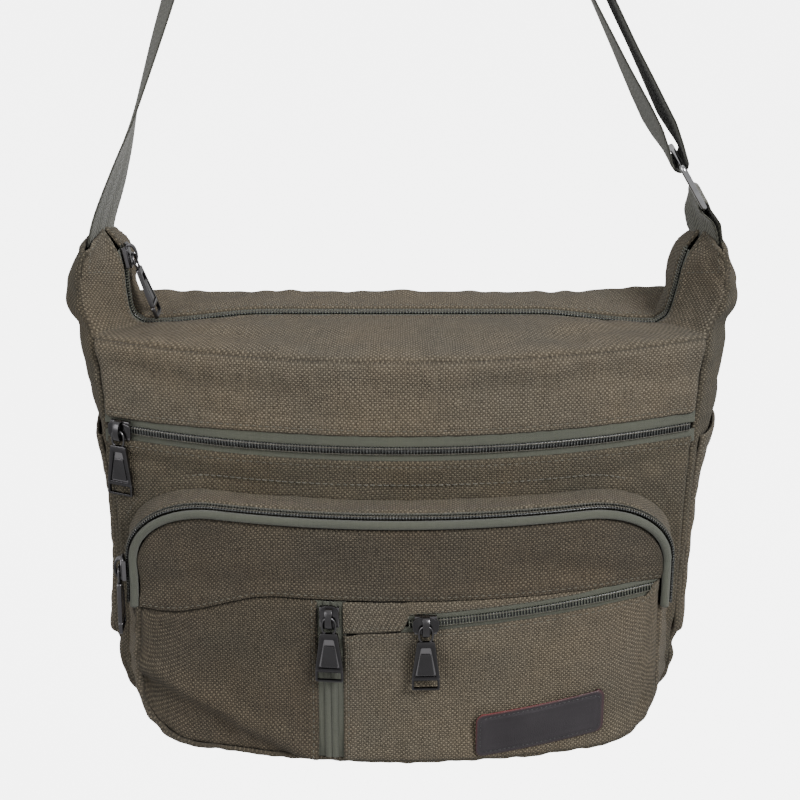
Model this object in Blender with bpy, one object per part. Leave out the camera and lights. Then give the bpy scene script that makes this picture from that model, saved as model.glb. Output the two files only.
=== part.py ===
"""A canvas messenger bag hanging by its shoulder strap.

The bag is drawn in its own frame (X to the right, Y to the back, Z up from the base) and every
object is then moved so that the top of the strap, where the bag hangs, is the origin.
"""

import math

import bmesh
import bpy
import numpy as np
from mathutils import Matrix, Vector

# ---------------------------------------------------------------- driving dimensions (metres)
STRAP_TOP = (-0.0277, 0.0, 0.6000)      # the point the strap hangs from, in the bag's own frame
FRONT_RADIUS = 0.36                     # the front bulges as part of a cylinder
BODY_TOP = 0.2175                       # seam between the front panel and the top strip
CORNER_RADIUS = 0.042                   # lower corners of the body
CLOTH = 0.0020                          # canvas with its lining
GAP = 0.00025                           # half of the clearance left along each seam
ZIP_HALF = 0.0022                       # half width of a closed coil
ZIP_THICK = 0.0020
UPPER_ZIP_Z = 0.1725
UPPER_TAPE = (0.1648, 0.1818)           # lower and upper edges of the two tapes
CARGO_Y = -0.1000                       # face of the cargo pocket, on the centre line
CARGO_HALF = 0.1330
CARGO_Z = (0.0105, 0.1437)
CARGO_R = (0.030, 0.030)                # lower and upper corner radii of its face
CARGO_WIDE = 0.012                      # the upper corners are this much wider than high
CARGO_SPLIT = 0.088                     # height where the zipped band ends and the lower gusset starts
VERTICAL_ZIP_X = -0.0350
VERTICAL_ZIP_HALF = 0.0072              # half width of the channel with its tapes
SMALL_ZIP_TILT = 0.075                  # rise per metre of the slanting zip
SMALL_ZIP_X = (0.0040, 0.1290)
BACK_ZIP_Z = 0.150
MAIN_LEAN = math.radians(9)             # the main zip's pull rests clear of the top
WEB_HALF = 0.0190                       # half width of the shoulder webbing
WEB_THICK = 0.0014
RING_LOW = (0.1522, 0.2830)             # the two long bars of the rectangular ring, x and z
RING_HIGH = (0.1395, 0.3045)
RING_WIRE = 0.0015
STRAP_SLACK = 0.0017                    # room around the ring's upper bar inside the strap's turn
ADJUSTER_AT = 0.240                     # distance of the adjuster from the ring's upper bar

CANVAS = (0.135, 0.112, 0.083)
TAPE = (0.115, 0.120, 0.098)
COIL = (0.050, 0.055, 0.045)
LINING = (0.055, 0.052, 0.044)
LEATHER = (0.060, 0.050, 0.048)
GUNMETAL = (0.090, 0.088, 0.090)
CHROME = (0.55, 0.55, 0.56)
WEBBING = (0.085, 0.090, 0.072)
SHIFT = Vector(STRAP_TOP)

for leftover in list(bpy.data.objects):
    bpy.data.objects.remove(leftover, do_unlink=True)


# ---------------------------------------------------------------- small helpers
def smooth(a, b, x):
    t = min(1.0, max(0.0, (x - a) / (b - a)))
    return t * t * (3 - 2 * t)


def curve_through(points, t):
    """A smooth curve through evenly numbered points, t from 0 to 1."""
    points = [np.array(p, float) for p in points]
    n = len(points) - 1
    f = min(max(t, 0.0), 1.0) * n
    i = min(int(f), n - 1)
    f -= i
    p1 = points[i]
    p2 = points[i + 1]
    p0 = points[i - 1] if i > 0 else 2 * p1 - p2
    p3 = points[i + 2] if i + 2 <= n else 2 * p2 - p1
    return 0.5 * (
        2 * p1 + (p2 - p0) * f + (2 * p0 - 5 * p1 + 4 * p2 - p3) * f * f
        + (3 * p1 - p0 - 3 * p2 + p3) * f ** 3
    )


def material(name, colour, roughness, metallic):
    made = bpy.data.materials.new(name)
    made.use_nodes = True
    shader = made.node_tree.nodes["Principled BSDF"]
    shader.inputs["Base Color"].default_value = (*colour, 1)
    shader.inputs["Roughness"].default_value = roughness
    shader.inputs["Metallic"].default_value = metallic
    made.diffuse_color = (*colour, 1)
    return made


def add(name, mesh, look, shade=True, origin=None):
    """Places a finished mesh, given in the bag's frame, with its origin on a joint where one is given."""
    base = Vector(origin) if origin is not None else Vector((0, 0, 0))
    mesh.transform(Matrix.Translation(-base))
    obj = bpy.data.objects.new(name, mesh)
    bpy.context.scene.collection.objects.link(obj)
    obj.location = base - SHIFT
    mesh.materials.append(material(name, *look))
    for polygon in mesh.polygons:
        polygon.use_smooth = shade
    return obj


def mesh_of(name, verts, faces):
    mesh = bpy.data.meshes.new(name)
    mesh.from_pydata([tuple(float(c) for c in v) for v in verts], [], faces)
    work = bmesh.new()
    work.from_mesh(mesh)
    bmesh.ops.recalc_face_normals(work, faces=work.faces)
    if work.calc_volume(signed=True) < 0:
        bmesh.ops.reverse_faces(work, faces=work.faces)
    bmesh.ops.triangulate(work, faces=work.faces)
    work.to_mesh(mesh)
    work.free()
    return mesh


def between(outer, inner):
    """Vertices and faces of the closed body between two matching grids."""
    ns, nt = outer.shape[:2]
    verts = list(outer.reshape(-1, 3)) + list(inner.reshape(-1, 3))
    faces = []
    off = ns * nt
    for i in range(ns - 1):
        for j in range(nt - 1):
            a = i * nt + j
            faces.append((a, a + 1, a + nt + 1, a + nt))
            faces.append((off + a, off + a + nt, off + a + nt + 1, off + a + 1))
    rim = [i * nt for i in range(ns)]
    rim += [(ns - 1) * nt + j for j in range(1, nt)]
    rim += [i * nt + nt - 1 for i in range(ns - 2, -1, -1)]
    rim += [j for j in range(nt - 2, 0, -1)]
    for k, a in enumerate(rim):
        b = rim[(k + 1) % len(rim)]
        faces.append((a, b, off + b, off + a))
    return verts, faces


def inset_grid(surface, ns, nt, inset, depth, sign):
    """Points of surface(s, t), drawn in by inset metres at s0, s1, t0, t1 and sunk by depth."""
    lo_s, hi_s, lo_t, hi_t = inset
    step = 1e-4
    middle = [np.array(surface(k / 12, 0.5)) for k in range(13)]
    length_s = sum(np.linalg.norm(b - a) for a, b in zip(middle, middle[1:]))
    grid = np.zeros((ns, nt, 3))
    for i in range(ns):
        s = i / (ns - 1)
        s = lo_s / length_s + s * (1 - (lo_s + hi_s) / length_s)
        column = [np.array(surface(s, k / 6)) for k in range(7)]
        length_t = sum(np.linalg.norm(b - a) for a, b in zip(column, column[1:]))
        for j in range(nt):
            t = lo_t / length_t + j / (nt - 1) * (1 - (lo_t + hi_t) / length_t)
            here = np.array(surface(s, t))
            if depth:
                ds = np.array(surface(s + step, t)) - np.array(surface(s - step, t))
                dt = np.array(surface(s, t + step)) - np.array(surface(s, t - step))
                normal = np.cross(ds, dt)
                normal /= np.linalg.norm(normal) + 1e-15
                here = here - sign * depth * normal
            grid[i, j] = here
    return grid


def shell(name, surface, ns, nt, look, thick=CLOTH, mitre=(0, 0, 0, 0), sign=1, sink=0.0, gap=GAP):
    """A sheet of cloth: its outer face lies on the surface, its inner face is mitred at the seams."""
    outer = inset_grid(surface, ns, nt, (gap,) * 4, sink, sign)
    inner = inset_grid(
        surface, ns, nt, tuple(gap + m * thick for m in mitre), sink + thick, sign
    )
    verts, faces = between(outer, inner)
    return add(name, mesh_of(name, verts, faces), look)


def sweep(path, sections, closed=False):
    """Vertices and faces of a bar through sections, one ring of points for each point of the path."""
    verts = []
    faces = []
    count = len(sections[0])
    for centre, ring in zip(path, sections):
        verts += [np.array(centre) + np.array(p) for p in ring]
    rings = len(path)
    for i in range(rings if closed else rings - 1):
        k = (i + 1) % rings
        for j in range(count):
            m = (j + 1) % count
            faces.append((i * count + j, i * count + m, k * count + m, k * count + j))
    if not closed:
        faces.append(tuple(range(count)))
        faces.append(tuple(range((rings - 1) * count, rings * count)))
    return verts, faces


def rounded(width, height, radius, per=2):
    """A rounded rectangle, as pairs across and up."""
    ring = []
    for k in range(4):
        cx = (width / 2 - radius) * (1 if k in (0, 3) else -1)
        cy = (height / 2 - radius) * (1 if k in (0, 1) else -1)
        for i in range(per + 1):
            a = math.pi / 2 * (k + i / per)
            ring.append((cx + radius * math.cos(a), cy + radius * math.sin(a)))
    return ring


def ribbon(name, path, across, section, look, origin=None, normals=None):
    """A band along a path; across gives the direction of its width at each point."""
    path = [np.array(p, float) for p in path]
    sections = []
    for i, here in enumerate(path):
        ahead = path[min(i + 1, len(path) - 1)] - path[max(i - 1, 0)]
        ahead /= np.linalg.norm(ahead)
        wide = np.array(across[i], float)
        wide -= ahead * (wide @ ahead)
        wide /= np.linalg.norm(wide)
        up = np.cross(ahead, wide)
        sections.append([wide * a + up * b for a, b in section])
    verts, faces = sweep(path, sections)
    return add(name, mesh_of(name, verts, faces), look, origin=origin)


# ---------------------------------------------------------------- the body's outer shape
def front_profile(z):
    if z > 0.10:
        return -0.0745 + 0.0105 * ((z - 0.10) / 0.12) ** 2
    return -0.0745 + 0.0165 * max(0.0, 1 - z / 0.10) ** 4


def cylinder_y(centre, x):
    return centre + FRONT_RADIUS - math.sqrt(FRONT_RADIUS ** 2 - min(abs(x), 0.3) ** 2)


def front_y(x, z):
    return cylinder_y(front_profile(z), x)


def back_y(x, z):
    if z > 0.10:
        return 0.044 - 0.005 * ((z - 0.10) / 0.12) ** 2
    return 0.044 - 0.012 * max(0.0, 1 - z / 0.10) ** 4


def plain_half(z):
    if z > 0.10:
        return 0.148 + 0.0085 * ((z - 0.10) / 0.1175) ** 2
    return 0.148 - 0.003 * (1 - max(z, 0.0) / 0.10)


def half_width(z):
    x = plain_half(z)
    if z < CORNER_RADIUS:
        x -= CORNER_RADIUS - math.sqrt(
            max(0.0, CORNER_RADIUS ** 2 - (CORNER_RADIUS - z) ** 2)
        )
    return x


def back_half(z):
    return half_width(z) - 0.0095 * smooth(0.15, BODY_TOP, z)


WING_FRONT = (
    (0.1590, -0.0300, 0.2640), (0.1608, -0.0300, 0.2550), (0.1615, -0.0290, 0.2445),
    (0.1605, -0.0280, 0.2320), (0.1565, -0.0276, 0.2175),
)
WING_BACK = (
    (0.1494, 0.0260, 0.2590), (0.1452, 0.0305, 0.2520), (0.1426, 0.0325, 0.2435),
    (0.1430, 0.0350, 0.2320), (0.1470, 0.0391, 0.2175),
)
WING_V = 0.20
SIDE_V = 0.75


def edge(v, back):
    """The seam on the right-hand side, from the wing's top (v 0) to the end of the lower corner (v 1)."""
    if v < WING_V:
        return curve_through(WING_BACK if back else WING_FRONT, v / WING_V)
    y_at = back_y if back else front_y
    if v < SIDE_V:
        z = BODY_TOP + (CORNER_RADIUS - BODY_TOP) * (v - WING_V) / (SIDE_V - WING_V)
        x = back_half(z) if back else half_width(z)
        return np.array((x, y_at(x, z), z))
    turn = math.pi / 2 * min(1.0, (v - SIDE_V) / (1 - SIDE_V))
    z = CORNER_RADIUS * (1 - math.sin(turn))
    x = plain_half(z) - CORNER_RADIUS * (1 - math.cos(turn))
    return np.array((x, y_at(x, z), z))


def bulge(v):
    return float(
        curve_through(
            [(0.0115,), (0.0190,), (0.0195,), (0.0105,), (0.0065,), (0.0060,), (0.0065,), (0.0050,), (0.0,)],
            v,
        )[0]
    )


def gusset(side, v, q):
    a = edge(v, False)
    b = edge(v, True)
    turn = math.pi / 2 * min(1.0, max(0.0, (v - SIDE_V) / (1 - SIDE_V)))
    out = np.array((math.cos(turn), 0, -math.sin(turn)))
    p = a + (b - a) * q + out * bulge(v) * 4 * q * (1 - q)
    return np.array((side * p[0], p[1], p[2]))


TOP_U = 0.74
ZIP_WING = ((0.1330, 0.2160), (0.1392, 0.2215), (0.1412, 0.2340), (0.1418, 0.2470), (0.1440, 0.2590))


def zip_line(u):
    """The main zip, from the left wing (u -1) along the top to the right wing (u 1)."""
    side = -1 if u < 0 else 1
    u = abs(u)
    if u < TOP_U:
        x = 0.1330 * u / TOP_U
        z = 0.2210 - 0.0050 * smooth(0.07, 0.128, x)
    else:
        x, z = curve_through(ZIP_WING, (u - TOP_U) / (1 - TOP_U))
    return np.array((side * x, 0.0, z))


def top_edge(u, back):
    side = -1 if u < 0 else 1
    u = abs(u)
    if u < TOP_U:
        half = back_half(BODY_TOP) if back else half_width(BODY_TOP)
        x = half * u / TOP_U
        y = (back_y if back else front_y)(x, BODY_TOP)
        return np.array((side * x, y, BODY_TOP))
    p = edge(WING_V * (1 - (u - TOP_U) / (1 - TOP_U)), back)
    return np.array((side * p[0], p[1], p[2]))


def top_strip(back, u, q):
    """q runs from the zip's tape to the seam; the strip is slightly domed."""
    away = 1 if back else -1
    a = zip_line(u) + np.array((0, away * 0.0052, 0))
    b = top_edge(u, back)
    side = -1 if u < 0 else 1
    rise = smooth(TOP_U - 0.1, TOP_U + 0.1, abs(u))
    out = np.array((-side * rise, 0, 1 - 0.8 * rise))
    return a + (b - a) * q + out * 0.0030 * 4 * q * (1 - q) * (1 - 0.5 * rise)


def cargo_seam(x):
    """Height of the stitched seam across the face of the cargo pocket."""
    return 0.0870 + 0.0165 * smooth(-0.124, -0.060, x)


def small_zip_z(x):
    return 0.0918 + SMALL_ZIP_TILT * (x - 0.015)


def outline(half, low, high, r_low, r_high, upper, w):
    """A rounded rectangle in x and z: its upper or lower part, from the left side (w 0) to the right."""
    if upper:
        side = high - r_high - CARGO_SPLIT
        radius = r_high
        wide = r_high + CARGO_WIDE
        z_corner = high - r_high
        up = 1
    else:
        side = CARGO_SPLIT - low - r_low
        radius = r_low
        wide = r_low
        z_corner = low + r_low
        up = -1
    arc = (radius + wide) * math.pi / 4
    flat = 2 * (half - wide)
    total = 2 * side + 2 * arc + flat
    d = w * total
    mirror = 1
    if d > total / 2:
        d = total - d
        mirror = -1
    if d < side:
        x = -half
        z = CARGO_SPLIT + up * d
    elif d < side + arc:
        a = (d - side) / arc * math.pi / 2
        x = -half + wide * (1 - math.cos(a))
        z = z_corner + up * radius * math.sin(a)
    else:
        x = -half + wide + (d - side - arc)
        z = z_corner + up * radius
    return mirror * x, z


def cargo_edge(upper, w, half_more, high_more, low_more, centre):
    x, z = outline(
        CARGO_HALF + half_more, CARGO_Z[0] - low_more, CARGO_Z[1] + high_more,
        CARGO_R[0] + low_more, CARGO_R[1] + high_more, upper, w,
    )
    y = front_y(x, z) - 0.0011 if centre is None else cylinder_y(centre, x)
    return np.array((x, y, z))


# ---------------------------------------------------------------- looks
FABRIC = (CANVAS, 0.9, 0.0)
LINED = (LINING, 0.85, 0.0)
TAPED = (TAPE, 0.8, 0.0)
COILED = (COIL, 0.55, 0.0)
METAL = (GUNMETAL, 0.3, 1.0)
WEB = (WEBBING, 0.85, 0.0)

# ---------------------------------------------------------------- body panels
shell(
    "front_lower_panel",
    lambda s, t: (
        (2 * s - 1) * half_width(t * UPPER_TAPE[0]),
        front_y((2 * s - 1) * half_width(t * UPPER_TAPE[0]), t * UPPER_TAPE[0]),
        t * UPPER_TAPE[0],
    ),
    25, 14, FABRIC, mitre=(1.3, 1.3, 1.3, 0),
)


def front_band(s, t):
    z = UPPER_TAPE[1] + t * (BODY_TOP - UPPER_TAPE[1])
    x = (2 * s - 1) * half_width(z)
    return (x, front_y(x, z), z)


shell("front_upper_panel", front_band, 21, 4, FABRIC, mitre=(1.3, 1.3, 0, 1.3))


def back_sheet(s, t, low, high):
    z = low + t * (high - low)
    x = (2 * s - 1) * back_half(z)
    return (x, back_y(x, z), z)


BACK_SLOT = (BACK_ZIP_Z - 0.0070, BACK_ZIP_Z + 0.0070)
shell(
    "back_upper_panel", lambda s, t: back_sheet(s, t, BACK_SLOT[1], BODY_TOP),
    13, 5, FABRIC, mitre=(1.5, 1.5, 0, 1.3), sign=-1,
)
shell(
    "back_lower_panel", lambda s, t: back_sheet(s, t, 0.0, BACK_SLOT[0]),
    13, 10, FABRIC, mitre=(1.5, 1.5, 1.3, 0), sign=-1,
)
for side, word in ((-1, "left"), (1, "right")):
    shell(
        f"gusset_{word}", lambda s, t, side=side: gusset(side, s, t),
        23, 9, FABRIC, mitre=(0, 0, 1.7, 1.7), sign=side, gap=0.0006,
    )


def base_sheet(s, t):
    half = half_width(0.0)
    x = (2 * s - 1) * (half - 0.0002)
    a = front_y(x, 0.0)
    b = back_y(x, 0.0)
    return (x, a + (b - a) * t, 0.0)


shell("bottom_panel", base_sheet, 11, 4, FABRIC, mitre=(0, 0, 1.3, 1.3), sign=-1)
shell(
    "top_strip_front", lambda s, t: top_strip(False, 2 * s - 1, t),
    41, 5, FABRIC, mitre=(0, 0, 0, 1.7), sign=-1,
)
shell(
    "top_strip_back", lambda s, t: top_strip(True, 2 * s - 1, t),
    41, 5, FABRIC, mitre=(0, 0, 0, 2.2), sign=1,
)


# ---------------------------------------------------------------- linings inside
def lining_front(s, t):
    z = 0.012 + t * 0.198
    x = (2 * s - 1) * (half_width(z) - 0.0055)
    return (x, front_y(x, z) + CLOTH + 0.0030, z)


def lining_back(s, t):
    z = 0.050 + t * 0.130
    x = (2 * s - 1) * 0.115
    return (x, back_y(x, z) - CLOTH - 0.0030, z)


def lining_cargo(s, t):
    z = 0.018 + t * 0.104
    x = (2 * s - 1) * 0.122
    return (x, cylinder_y(CARGO_Y, x) + CLOTH + 0.0022, z)


def inner_pocket(s, t):
    z = 0.060 + t * 0.095
    x = (2 * s - 1) * 0.090
    return (x, back_y(x, z) - CLOTH - 0.0050, z)


shell("front_pocket_lining", lining_front, 21, 8, LINED, thick=0.0010)
shell("back_pocket_lining", lining_back, 5, 4, LINED, thick=0.0010, sign=-1)
shell("cargo_pocket_lining", lining_cargo, 17, 4, LINED, thick=0.0010)
shell("inner_slip_pocket", inner_pocket, 5, 4, LINED, thick=0.0010, sign=-1)


# ---------------------------------------------------------------- zips
def tape_of(name, edge_a, edge_b, count, sign, sink=0.0004, thick=0.0010):
    shell(
        name, lambda s, t: edge_a(s) + (edge_b(s) - edge_a(s)) * t,
        count, 2, TAPED, thick=thick, sign=sign, sink=sink,
    )


def coil(name, line, across, up, count):
    """The closed coil of a zip: a low bead along the line."""
    path = [np.array(line(i / (count - 1))) for i in range(count)]
    ring = rounded(2 * ZIP_HALF, ZIP_THICK, 0.0007, 1)
    sections = []
    for i in range(count):
        a = np.array(across(i / (count - 1)), float)
        b = np.array(up(i / (count - 1)), float)
        a /= np.linalg.norm(a)
        b /= np.linalg.norm(b)
        sections.append([a * p + b * q for p, q in ring])
    verts, faces = sweep(path, sections)
    add(name, mesh_of(name, verts, faces), COILED)


U_END = 0.985
for back, word in ((False, "front"), (True, "back")):
    away = 1 if back else -1
    tape_of(
        f"main_zip_tape_{word}",
        lambda s, away=away: zip_line((2 * s - 1) * U_END)
        + np.array((0, away * (ZIP_HALF + 0.0001), 0)),
        lambda s, away=away: zip_line((2 * s - 1) * U_END) + np.array((0, away * 0.0045, 0)),
        37, -1 if not back else 1,
    )


def zip_up(s):
    u = (2 * s - 1) * U_END
    along = zip_line(u + 1e-3) - zip_line(u - 1e-3)
    return np.cross(along, (0, 1, 0))


coil(
    "main_zip_coil", lambda s: zip_line((2 * s - 1) * U_END),
    lambda s: (0, 1, 0), zip_up, 37,
)


def front_at(x, z, out=0.0):
    return np.array((x, front_y(x, z) - out, z))


def cylinder_normal(x):
    return np.array((x / FRONT_RADIUS, -math.sqrt(1 - (x / FRONT_RADIUS) ** 2), 0))


UPPER_X = 0.1485
tape_of(
    "upper_zip_tape_high",
    lambda s: front_at((2 * s - 1) * UPPER_X, UPPER_ZIP_Z + ZIP_HALF + 0.0001),
    lambda s: front_at((2 * s - 1) * UPPER_X, UPPER_TAPE[1]), 17, 1,
)
tape_of(
    "upper_zip_tape_low",
    lambda s: front_at((2 * s - 1) * UPPER_X, UPPER_TAPE[0]),
    lambda s: front_at((2 * s - 1) * UPPER_X, UPPER_ZIP_Z - ZIP_HALF - 0.0001), 17, 1,
)
coil(
    "upper_zip_coil", lambda s: front_at((2 * s - 1) * UPPER_X, UPPER_ZIP_Z),
    lambda s: (0, 0, 1), lambda s: cylinder_normal((2 * s - 1) * UPPER_X), 17,
)

# The cargo pocket: a box-shaped pocket with a zip over its top and down both sides.
shell(
    "cargo_band_upper",
    lambda s, t: cargo_edge(True, s, 0.0080 - 0.0015 * t, 0.0038 + 0.0022 * t, 0, None) * (1 - t)
    + cargo_edge(True, s, 0.0052, 0.0049, 0, -0.0920) * t,
    41, 4, FABRIC, thick=0.0016, sign=-1,
)
tape_of(
    "cargo_zip_tape_inner",
    lambda s: cargo_edge(True, s, 0.0052, 0.0049, 0, -0.0920),
    lambda s: cargo_edge(True, s, 0.0050, 0.0047, 0, -0.0954), 41, -1, sink=0.0002, thick=0.0010,
)
coil(
    "cargo_zip_coil", lambda s: cargo_edge(True, s, 0.0056, 0.0053, 0, -0.0978),
    lambda s: (0, 1, 0),
    lambda s: np.cross(
        (0, -1, 0),
        cargo_edge(True, min(1, s + 1e-3), 0.0056, 0.0053, 0, -0.0978)
        - cargo_edge(True, max(0, s - 1e-3), 0.0056, 0.0053, 0, -0.0978),
    ), 41,
)
BINDING_R = 0.0017
binding_path = [cargo_edge(True, i / 40, 0.0024, 0.0024, 0, -0.1008) for i in range(41)]
binding_rings = []
for i, here in enumerate(binding_path):
    ahead = binding_path[min(i + 1, 40)] - binding_path[max(i - 1, 0)]
    ahead /= np.linalg.norm(ahead)
    out = cylinder_normal(here[0])
    side_way = np.cross(ahead, out)
    binding_rings.append(
        [
            BINDING_R * (out * math.cos(k * math.pi / 4) + side_way * math.sin(k * math.pi / 4))
            for k in range(8)
        ]
    )
add("cargo_binding", mesh_of("cargo_binding", *sweep(binding_path, binding_rings)), TAPED)
shell(
    "cargo_gusset_lower",
    lambda s, t: cargo_edge(False, s, 0.0080, 0, 0.0065, None) * (1 - t)
    + cargo_edge(False, s, 0.0003, 0, 0.0003, CARGO_Y) * t,
    41, 5, FABRIC, thick=0.0016, sign=1, mitre=(0, 0, 0, 1.4),
)


def face_low(x):
    low, r_low = CARGO_Z[0], CARGO_R[0]
    inside = abs(x) - (CARGO_HALF - r_low)
    return low if inside < 0 else low + r_low - math.sqrt(max(0.0, r_low ** 2 - inside ** 2))


def face_high(x):
    high, r_high = CARGO_Z[1], CARGO_R[1]
    wide = r_high + CARGO_WIDE
    inside = max(0.0, abs(x) - (CARGO_HALF - wide)) / wide
    return high - r_high + r_high * math.sqrt(max(0.0, 1 - inside ** 2))


def face_piece(x0, x1, low, high):
    """Part of the cargo face between two vertical lines and two curves."""

    def surface(s, t):
        x = x0 + (x1 - x0) * s
        z = low(x) + (high(x) - low(x)) * t
        return (x, cylinder_y(CARGO_Y, x), z)

    return surface


FACE_END = CARGO_HALF - 0.0006
shell(
    "cargo_panel_upper", face_piece(-FACE_END, FACE_END, cargo_seam, face_high),
    33, 5, FABRIC, thick=0.0016,
)
shell(
    "cargo_panel_left",
    face_piece(-FACE_END, VERTICAL_ZIP_X - VERTICAL_ZIP_HALF, face_low, cargo_seam),
    15, 6, FABRIC, thick=0.0016, mitre=(1.4, 0, 1.6, 0),
)
RIGHT_X = VERTICAL_ZIP_X + VERTICAL_ZIP_HALF


def strip_low(x):
    return small_zip_z(x) + 0.0042 - 0.0080 * (1 - smooth(-0.0010, 0.0030, x))


shell(
    "cargo_panel_right", face_piece(RIGHT_X, FACE_END, face_low, lambda x: small_zip_z(x) - 0.0042),
    21, 6, FABRIC, thick=0.0016, mitre=(0, 1.4, 1.6, 0),
)
shell(
    "cargo_panel_wedge", face_piece(RIGHT_X, 0.1180, strip_low, cargo_seam),
    29, 2, FABRIC, thick=0.0016,
)


def face_at(x, z, out=0.0):
    return np.array((x, cylinder_y(CARGO_Y, x), z)) + cylinder_normal(x) * out


VERTICAL_Z = (0.0125, 0.1030)
for sign_x, word in ((-1, "left"), (1, "right")):
    near = VERTICAL_ZIP_X + sign_x * (ZIP_HALF + 0.0001)
    far = VERTICAL_ZIP_X + sign_x * VERTICAL_ZIP_HALF
    tape_of(
        f"vertical_zip_tape_{word}",
        lambda s, near=near: face_at(near, VERTICAL_Z[0] + s * (VERTICAL_Z[1] - VERTICAL_Z[0])),
        lambda s, far=far: face_at(far, VERTICAL_Z[0] + s * (VERTICAL_Z[1] - VERTICAL_Z[0])),
        2, -sign_x,
    )
coil(
    "vertical_zip_coil",
    lambda s: face_at(VERTICAL_ZIP_X, VERTICAL_Z[0] + s * (VERTICAL_Z[1] - VERTICAL_Z[0])),
    lambda s: (1, 0, 0), lambda s: cylinder_normal(VERTICAL_ZIP_X), 2,
)


def small_at(s, lift):
    x = SMALL_ZIP_X[0] + s * (SMALL_ZIP_X[1] - SMALL_ZIP_X[0])
    return face_at(x, small_zip_z(x) + lift)


tape_of(
    "small_zip_tape_high", lambda s: small_at(s * 0.90, ZIP_HALF + 0.0001),
    lambda s: small_at(s * 0.90, 0.0042), 13, 1,
)
tape_of(
    "small_zip_tape_low", lambda s: small_at(s, -0.0042),
    lambda s: small_at(s, -ZIP_HALF - 0.0001), 13, 1,
)
coil(
    "small_zip_coil", lambda s: small_at(s, 0), lambda s: (0, 0, 1),
    lambda s: cylinder_normal(SMALL_ZIP_X[0] + s * (SMALL_ZIP_X[1] - SMALL_ZIP_X[0])), 13,
)
for sign_z, word in ((1, "high"), (-1, "low")):
    tape_of(
        f"back_zip_tape_{word}",
        lambda s, sign_z=sign_z: np.array(
            ((2 * s - 1) * 0.144, back_y(0, BACK_ZIP_Z), BACK_ZIP_Z + sign_z * (ZIP_HALF + 0.0001))
        ),
        lambda s, sign_z=sign_z: np.array(
            ((2 * s - 1) * 0.144, back_y(0, BACK_ZIP_Z), BACK_ZIP_Z + sign_z * 0.0070)
        ),
        2, -sign_z,
    )
coil(
    "back_zip_coil", lambda s: ((2 * s - 1) * 0.144, back_y(0, BACK_ZIP_Z), BACK_ZIP_Z),
    lambda s: (0, 0, 1), lambda s: (0, 1, 0), 2,
)


# ---------------------------------------------------------------- sliders and their pulls
def block(work, low, high):
    """An axis-aligned box as a bmesh part."""
    low = Vector(low)
    high = Vector(high)
    made = bmesh.ops.create_cube(work, size=1)
    scale = Matrix.Diagonal((*(high - low), 1))
    bmesh.ops.transform(
        work, matrix=Matrix.Translation((low + high) / 2) @ scale, verts=made["verts"]
    )


def solid_from(parts, cut=(), bevel=0.0):
    """One closed mesh from boxes joined, with boxes cut away and edges rounded."""
    bodies = []
    for k, (low, high) in enumerate(list(parts) + list(cut)):
        work = bmesh.new()
        block(work, low, high)
        mesh = bpy.data.meshes.new("block")
        work.to_mesh(mesh)
        work.free()
        obj = bpy.data.objects.new("block", mesh)
        bpy.context.scene.collection.objects.link(obj)
        obj.hide_render = True
        obj.display_type = "WIRE"
        bodies.append(obj)
    first = bodies[0]
    for k, other in enumerate(bodies[1:], 1):
        joined = first.modifiers.new("join", "BOOLEAN")
        joined.operation = "UNION" if k < len(parts) else "DIFFERENCE"
        joined.solver = "EXACT"
        joined.object = other
    if bevel:
        soft = first.modifiers.new("soft", "BEVEL")
        soft.width = bevel
        soft.segments = 1
        soft.limit_method = "ANGLE"
    bpy.context.view_layer.update()
    graph = bpy.context.evaluated_depsgraph_get()
    made = bpy.data.meshes.new_from_object(first.evaluated_get(graph))
    for obj in bodies:
        bpy.data.objects.remove(obj, do_unlink=True)
    return made


BRIDGE = (
    ((-0.0016, 0.0026, -0.0048), (0.0016, 0.0072, -0.0030)),
    ((-0.0016, 0.0026, 0.0030), (0.0016, 0.0072, 0.0048)),
    ((-0.0016, 0.0060, -0.0048), (0.0016, 0.0072, 0.0048)),
)


def slider_mesh(upright):
    """x runs across the pull, y out of the bag, z up. The coil passes below the plate, along z if upright."""
    wide, tall = (0.0050, 0.0065) if upright else (0.0065, 0.0050)
    parts = [((-wide, 0.0018, -tall), (wide, 0.0034, tall))]
    for sign in (-1, 1):
        near, far = sorted((sign * 0.0036, sign * 0.0050))
        if upright:
            parts.append(((near, 0.0006, -tall), (far, 0.0024, tall)))
        else:
            parts.append(((-wide, 0.0006, near), (wide, 0.0024, far)))
    return solid_from(parts=parts + list(BRIDGE))


SLIDER_UPRIGHT = slider_mesh(True)
SLIDER_LEVEL = slider_mesh(False)


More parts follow.
